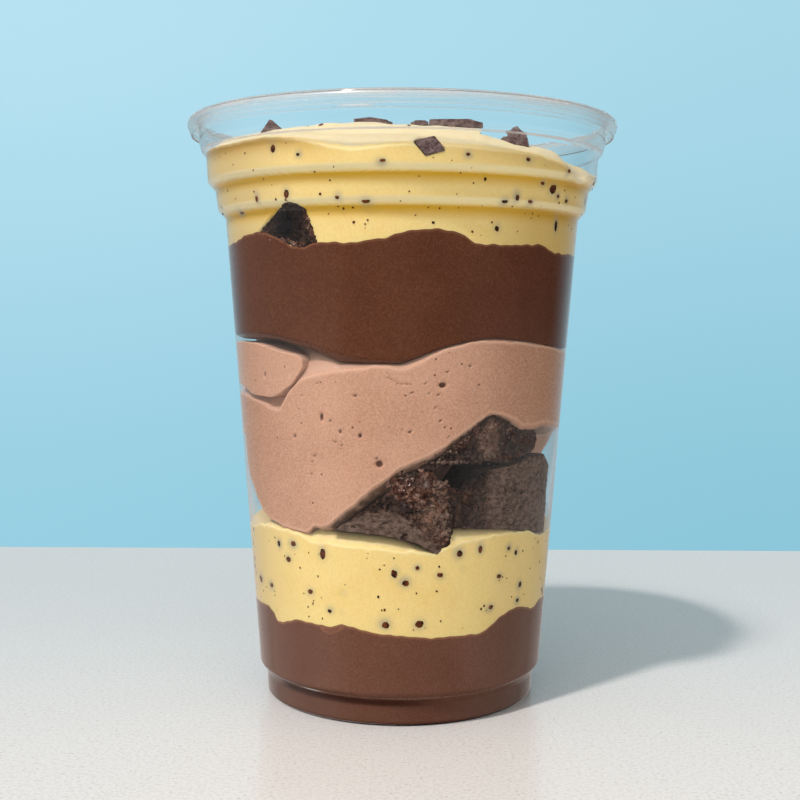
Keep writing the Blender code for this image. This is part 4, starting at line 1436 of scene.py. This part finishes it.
# %% [markdown]
# Tearing a brownie leaves loose crumbs on its broken faces and along its edges. They are
# strewn where the broken faces show: round a line on the wall, each one dropped inwards onto
# the first piece it meets. A crumb is a cube, cut once each way and pushed out of shape.

# %% Strew the crumbs
CRUMBS = (
    ((-1.5, 53.2), (10.0, 48.5), 2.0, 220, (0.35, 1.3)),
    ((6.5, 55.3), (14.5, 52.5), 0.9, 60, (0.3, 0.9)),
    ((11.5, 50.5), (15.5, 41.5), 1.7, 230, (0.25, 0.9)),
    ((12.5, 54.0), (19.5, 51.2), 0.35, 36, (0.2, 0.6)),
    ((8.5, 57.6), (30.0, 57.3), 0.35, 80, (0.2, 0.6)),
    ((30.0, 57.6), (54.0, 58.9), 0.35, 60, (0.2, 0.6)),
    ((25.0, 66.0), (31.0, 58.5), 1.5, 150, (0.2, 0.7)),
    ((12.0, 60.0), (24.0, 63.0), 1.6, 110, (0.2, 0.6)),
    ((38.0, 63.5), (52.0, 60.5), 1.8, 110, (0.2, 0.6)),
    ((-29.6, 109.6), (-26.4, 102.8), 0.5, 60, (0.4, 1.1)),
    ((-44.0, 104.0), (-29.0, 102.0), 0.45, 50, (0.3, 0.9)),
    ((-34.4, 110.9), (-33.6, 114.0), 0.35, 12, (0.4, 1.0)),
    ((65.5, 52.0), (66.5, 41.0), 0.5, 30, (0.3, 0.9)),
)
CRUMB_OUT = 0.25
SEEK, FLOATING = 4.0, 0.7
ARC_RADIUS, MOSTLY_SMALL, CRUMB_FLAT = 40.0, 1.3, (0.6, 1.0)
CRUMB_SIZE = 0.8


def first_met(pieces, angle, height):
    """Where a level line from the wall inwards first meets one of some pieces."""
    start = Vector(to_points(angle, float(wall_radius(height)), height)) * MM
    inwards = -Vector((start.x, start.y, 0.0)).normalized()
    met = [piece.ray_cast(start, inwards, distance=SEEK * MM) for piece in pieces]
    spots = [spot for hit, spot, _, _ in met if hit]
    return min(spots, key=lambda spot: (spot - start).length) if spots else start + inwards * FLOATING * MM


def crumb_places(luck):
    """A matrix for each crumb, strewn about the lines and dropped onto the first brownie met."""
    for start, end, spread, count, sizes in CRUMBS:
        for _ in range(count):
            along, off = luck.uniform(), luck.normal(0.0, spread / 2.0, 2)
            size = luck.uniform(*sizes) ** MOSTLY_SMALL
            angle = start[0] + (end[0] - start[0]) * along + math.degrees(off[0] / ARC_RADIUS)
            height = start[1] + (end[1] - start[1]) * along + off[1]
            spot = first_met(BROWNIES, angle, height)
            radius = min(spot.xy.length / MM + CRUMB_OUT * size, float(wall_radius(height)) - 0.5 * size)
            place = Matrix.Translation(Vector(to_points(angle, radius, height)) * MM)
            flatter = [size * luck.uniform(*CRUMB_FLAT) for _ in range(2)]
            turn = Vector(luck.normal(size=3)).to_track_quat("X", "Z").to_matrix().to_4x4()
            yield place @ turn @ Matrix.Diagonal((size, *flatter, 1.0))


rough_crumbs = [new_grain(f"crumb {seed}", seed, CRUMB_SIZE) for seed in (1, 2, 3)]
crumbs = strewn("brownie_crumbs", rough_crumbs, list(crumb_places(np.random.default_rng(21))))
LOOSE, LOOSE_MID = (0.030, 0.012, 0.009), (0.105, 0.048, 0.034)
LOOSE_LIGHT, LOOSE_DRY = (0.330, 0.210, 0.160), (0.240, 0.165, 0.130)
DRY_CRUMBS = ((13.5, 45.5, 9.5), (30.0, 61.0, 7.5), (14.0, 53.0, 3.0), (16.0, 57.6, 8.0))
loose = new_finish("crumbs")
tone = loose.coats(LOOSE, (LOOSE_MID, loose.grain(0.9, 3.0, 0.7).between(0.38, 0.56)),
                   (LOOSE_LIGHT, loose.grain(1.3, 3.0, 0.7).between(0.50, 0.66) * 0.8))
for where, level, width in DRY_CRUMBS:
    centre = to_points(where, float(wall_radius(level)), level)
    dry = loose.near(centre, width) * loose.grain(1.1, 3.0).between(0.35, 0.60)
    tone = loose.mixed(tone, LOOSE_DRY, dry)
crumbs_look = food_shader(loose, tone, 0.5, loose.bumps(loose.grain(0.25, 2.0), 0.06),
                          loose.grain(3.0, 2.0).between(0.40, 0.60) * 0.6, {"Coat Roughness": 0.25})
finished(crumbs, crumbs_look, "brownie")
for crumb in rough_crumbs:
    bpy.data.objects.remove(crumb)

# %% [markdown]
# ## The upper pudding
#
# A smooth dark pudding was poured on the mousse. Its lower edge rounds off over the mousse's
# rounded top, so a thin dark gap runs between them; its own top is the line under the cream.

# %% Model the upper pudding
SUNK = 0.15


def pudding_under(x, y):
    return mousse_over(x, y) - SUNK


pudding_tuck = Line((-90, 3.0), (-45, 2.6), (-10, 1.4), (40, 1.3), (180, 1.2))
pudding_foot = shifted(MOUSSE_CREST, even(-SUNK))
pudding_upper = layer(
    "pudding_upper", Face(PUDDING_FOOT, pudding_foot, pudding_tuck, pudding_under, 0.5), Face(PUDDING_TOP),
)
dark_look = pudding_look("dark pudding", (0.120, 0.045, 0.0245), (0.096, 0.034, 0.0185), (0.24, 0.12, 0.075),
                         (0.32, 0.14, 0.075))
paint(pudding_upper, "free", off_wall(pudding_upper))
paint_rim_highlight(pudding_upper, PUDDING_TOP)
finished(pudding_upper, dark_look, "dark_pudding", "pudding_upper")

# %% [markdown]
# ## The cream on top
#
# The upper cream fills the steps of the wall and stands up in a heap, with its crest about
# eight millimetres in from the wall. At the right a lower lobe slid down. The heap isn't
# level: the spoon left soft folds in it.

# %% Model the heap
WALL_CHIP = ((2.6, 122.1), (8.3, 123.3), (11.0, 120.4), (6.0, 119.1))
CHIP_POCKET, CHIP_POCKET_EDGE = 2.2, 0.4
HEAP_FROM = 114.0
HEAP_GRAINS, HEAP_SPREAD, HEAP_SIZES = 90, 42.0, (0.3, 1.3)
HEAP_TUCK = Line((-90, 8.0), (-40, 8.5), (0, 8.0), (30, 8.5), (50, 7.0), (75, 4.0), (100, 5.0), (150, 8.0))


def heap_middle(x, y):
    folds = 0.9 * lumps(x, y, 0.0 * x, 13.0, 14) + 0.35 * lumps(x, y, 0.0 * x, 5.5, 15)
    swirl = 0.35 * np.sin(np.hypot(x - 4.0, y - 6.0) / 3.4 + 1.5 * lumps(x, y, 0.0 * x, 16.0, 16))
    return 126.0 + folds + swirl


heap_face = Face(HEAP_LINE, HEAP_CREST, HEAP_TUCK, heap_middle, 0.62, even(1.9))
cream_top = layer("cream_top", Face(PUDDING_TOP), heap_face)
points = get_points(cream_top)
x, y, z = points.T
heaped = ease((pressed_depth(cream_top) - 0.6) / 2.0) * (z > HEAP_FROM)
points[:, 2] += 0.35 * heaped * lumps(x, y, z, 4.0, 17)
set_points(cream_top, points)
paint(cream_top, "free", off_wall(cream_top))
make_room(cream_top, IN_CREAM, POCKET, POCKET_EDGE)
make_room(cream_top, WALL_CHIP, CHIP_POCKET, CHIP_POCKET_EDGE)
paint_rim_highlight(cream_top, HEAP_LINE, STEP_FACES)
paint_halos(cream_top, upper_places, 0.8)
paint_step_and_contact_shade(cream_top, HEAP_LINE)
finished(cream_top, cream_look, "vanilla_cream", "cream_top")


def on_heap(x, y):
    """Where a plumb line at a place meets the heap, and the heap's slope there."""
    _, spot, slope, _ = cream_top.ray_cast(Vector((x, y, 140.0)) * MM, Vector((0.0, 0.0, -1.0)))
    return spot, slope


def lying_on_heap(luck, size, radius):
    """The matrix that lays a grain on the heap, at a distance from the axis."""
    angle = luck.uniform(-180.0, 180.0)
    x, y, _ = to_points(angle, radius, 0.0)
    spot, slope = on_heap(x, y)
    stand = slope.to_track_quat("Z", "Y").to_matrix().to_4x4()
    spin = Matrix.Rotation(luck.uniform(0.0, math.tau), 4, "Z")
    shape = Matrix.Diagonal((size, size * luck.uniform(*CRUMB_FLAT), size * 0.5, 1.0))
    return Matrix.Translation(spot) @ stand @ spin @ shape


heap_grains = [lying_on_heap(luck, luck.uniform(*HEAP_SIZES), HEAP_SPREAD * math.sqrt(luck.uniform(0.0, 1.0)))
               for _ in range(HEAP_GRAINS)]
upper_grains = strewn("grains_in_top_cream", fine_grains, laid(upper_places) + heap_grains)
finished(upper_grains, seed_look, "brownie")
for grain in fine_grains:
    bpy.data.objects.remove(grain)

# %% [markdown]
# ## The chocolate chips
#
# Six broken pieces of chocolate lie on the heap. Each starts as a cube, loses corners to
# slanting cuts, as chocolate breaks, is scaled to its size and has its edges bevelled. A cut
# is given by its nearest point to the cube's middle. Each chip stands at the place given for it
# and takes the place of its node.

# %% Break the chips
CHIPS = (
    ((-40.5, 41.0, 126.5), (4.8, 2.6, 3.0), (36.0, 4.0, 4.0), ((-0.28, 0.0, 0.122), (0.135, 0.0, 0.150))),
    ((-13.0, 27.0, 128.2), (7.4, 3.6, 2.2), (-8.0, 0.0, 2.0), ((0.22, 0.0, 0.33), (-0.19, 0.08, 0.34))),
    ((7.0, 29.0, 127.5), (3.0, 2.8, 1.4), (12.0, 0.0, -4.0), ((0.27, 0.12, 0.27),)),
    ((22.0, 29.5, 127.7), (11.2, 3.8, 2.0), (-20.0, 0.0, -2.0), ((0.35, 0.04, 0.19), (-0.26, 0.17, 0.26))),
    ((6.9, 43.85, 121.2), (5.6, 1.5, 3.3), (0.0, 0.0, -14.5), ((0.36, 0.0, 0.08), (-0.342, 0.0, -0.104))),
    ((35.8, 38.8, 124.5), (5.8, 3.4, 5.4), (-30.0, 4.0, -3.0), ((-0.165, 0.0, 0.186), (0.275, 0.0, 0.262))),
)
CHIP_EDGE, CHIP_ROUGH, CHIP_LUMPS = 0.18, 0.08, 1.3


def chip(number, place, size, lean, cuts):
    """A broken piece of chocolate, cut from a cube and stood at its place."""
    deselect()
    bpy.ops.mesh.primitive_cube_add(size=MM)
    piece = bpy.context.object
    piece.name = piece.data.name = f"chip_{number}"
    with editing(piece):
        for cut in cuts:
            bpy.ops.mesh.select_all(action="SELECT")
            slant = Vector(cut)
            bpy.ops.mesh.bisect(plane_co=slant * MM, plane_no=slant.normalized(), use_fill=True,
                                clear_outer=True)
        bpy.ops.mesh.select_all(action="SELECT")
        bpy.ops.mesh.subdivide(number_cuts=3)
    angle, radius, height = place
    turn, tip, roll = lean
    stand = turned(angle + turn, "Z") @ turned(tip, "X") @ turned(roll, "Y")
    spot = Vector(to_points(angle, radius, height)) * MM
    piece.data.transform(Matrix.Diagonal((*size, 1.0)))
    points = get_points(piece)
    rough = CHIP_ROUGH * lumps(*points.T, CHIP_LUMPS, number)
    set_points(piece, points * (1.0 + rough[:, None]))
    piece.data.transform(Matrix.Translation(spot) @ stand)
    apply(piece, "BEVEL", width=CHIP_EDGE * MM, segments=2, limit_method="ANGLE")
    close_mesh(piece)
    smooth(piece, 35.0)
    return piece


CHOCOLATE, CHOCOLATE_DUST = (0.080, 0.048, 0.048), (0.350, 0.265, 0.260)
dark = new_finish("chocolate")
bloom = dark.grain(0.8, 4.0, 0.75).between(0.38, 0.62)
chips_colour = dark.mixed(CHOCOLATE, CHOCOLATE_DUST, bloom * 0.6)
chip_look = food_shader(dark, chips_colour, 0.5 + 0.2 * bloom, dark.bumps(dark.grain(0.6, 4.0, 0.65), 0.35))
for number, values in enumerate(CHIPS, start=1):
    finished(chip(number, *values), chip_look, "chocolate", f"chip_{number}")
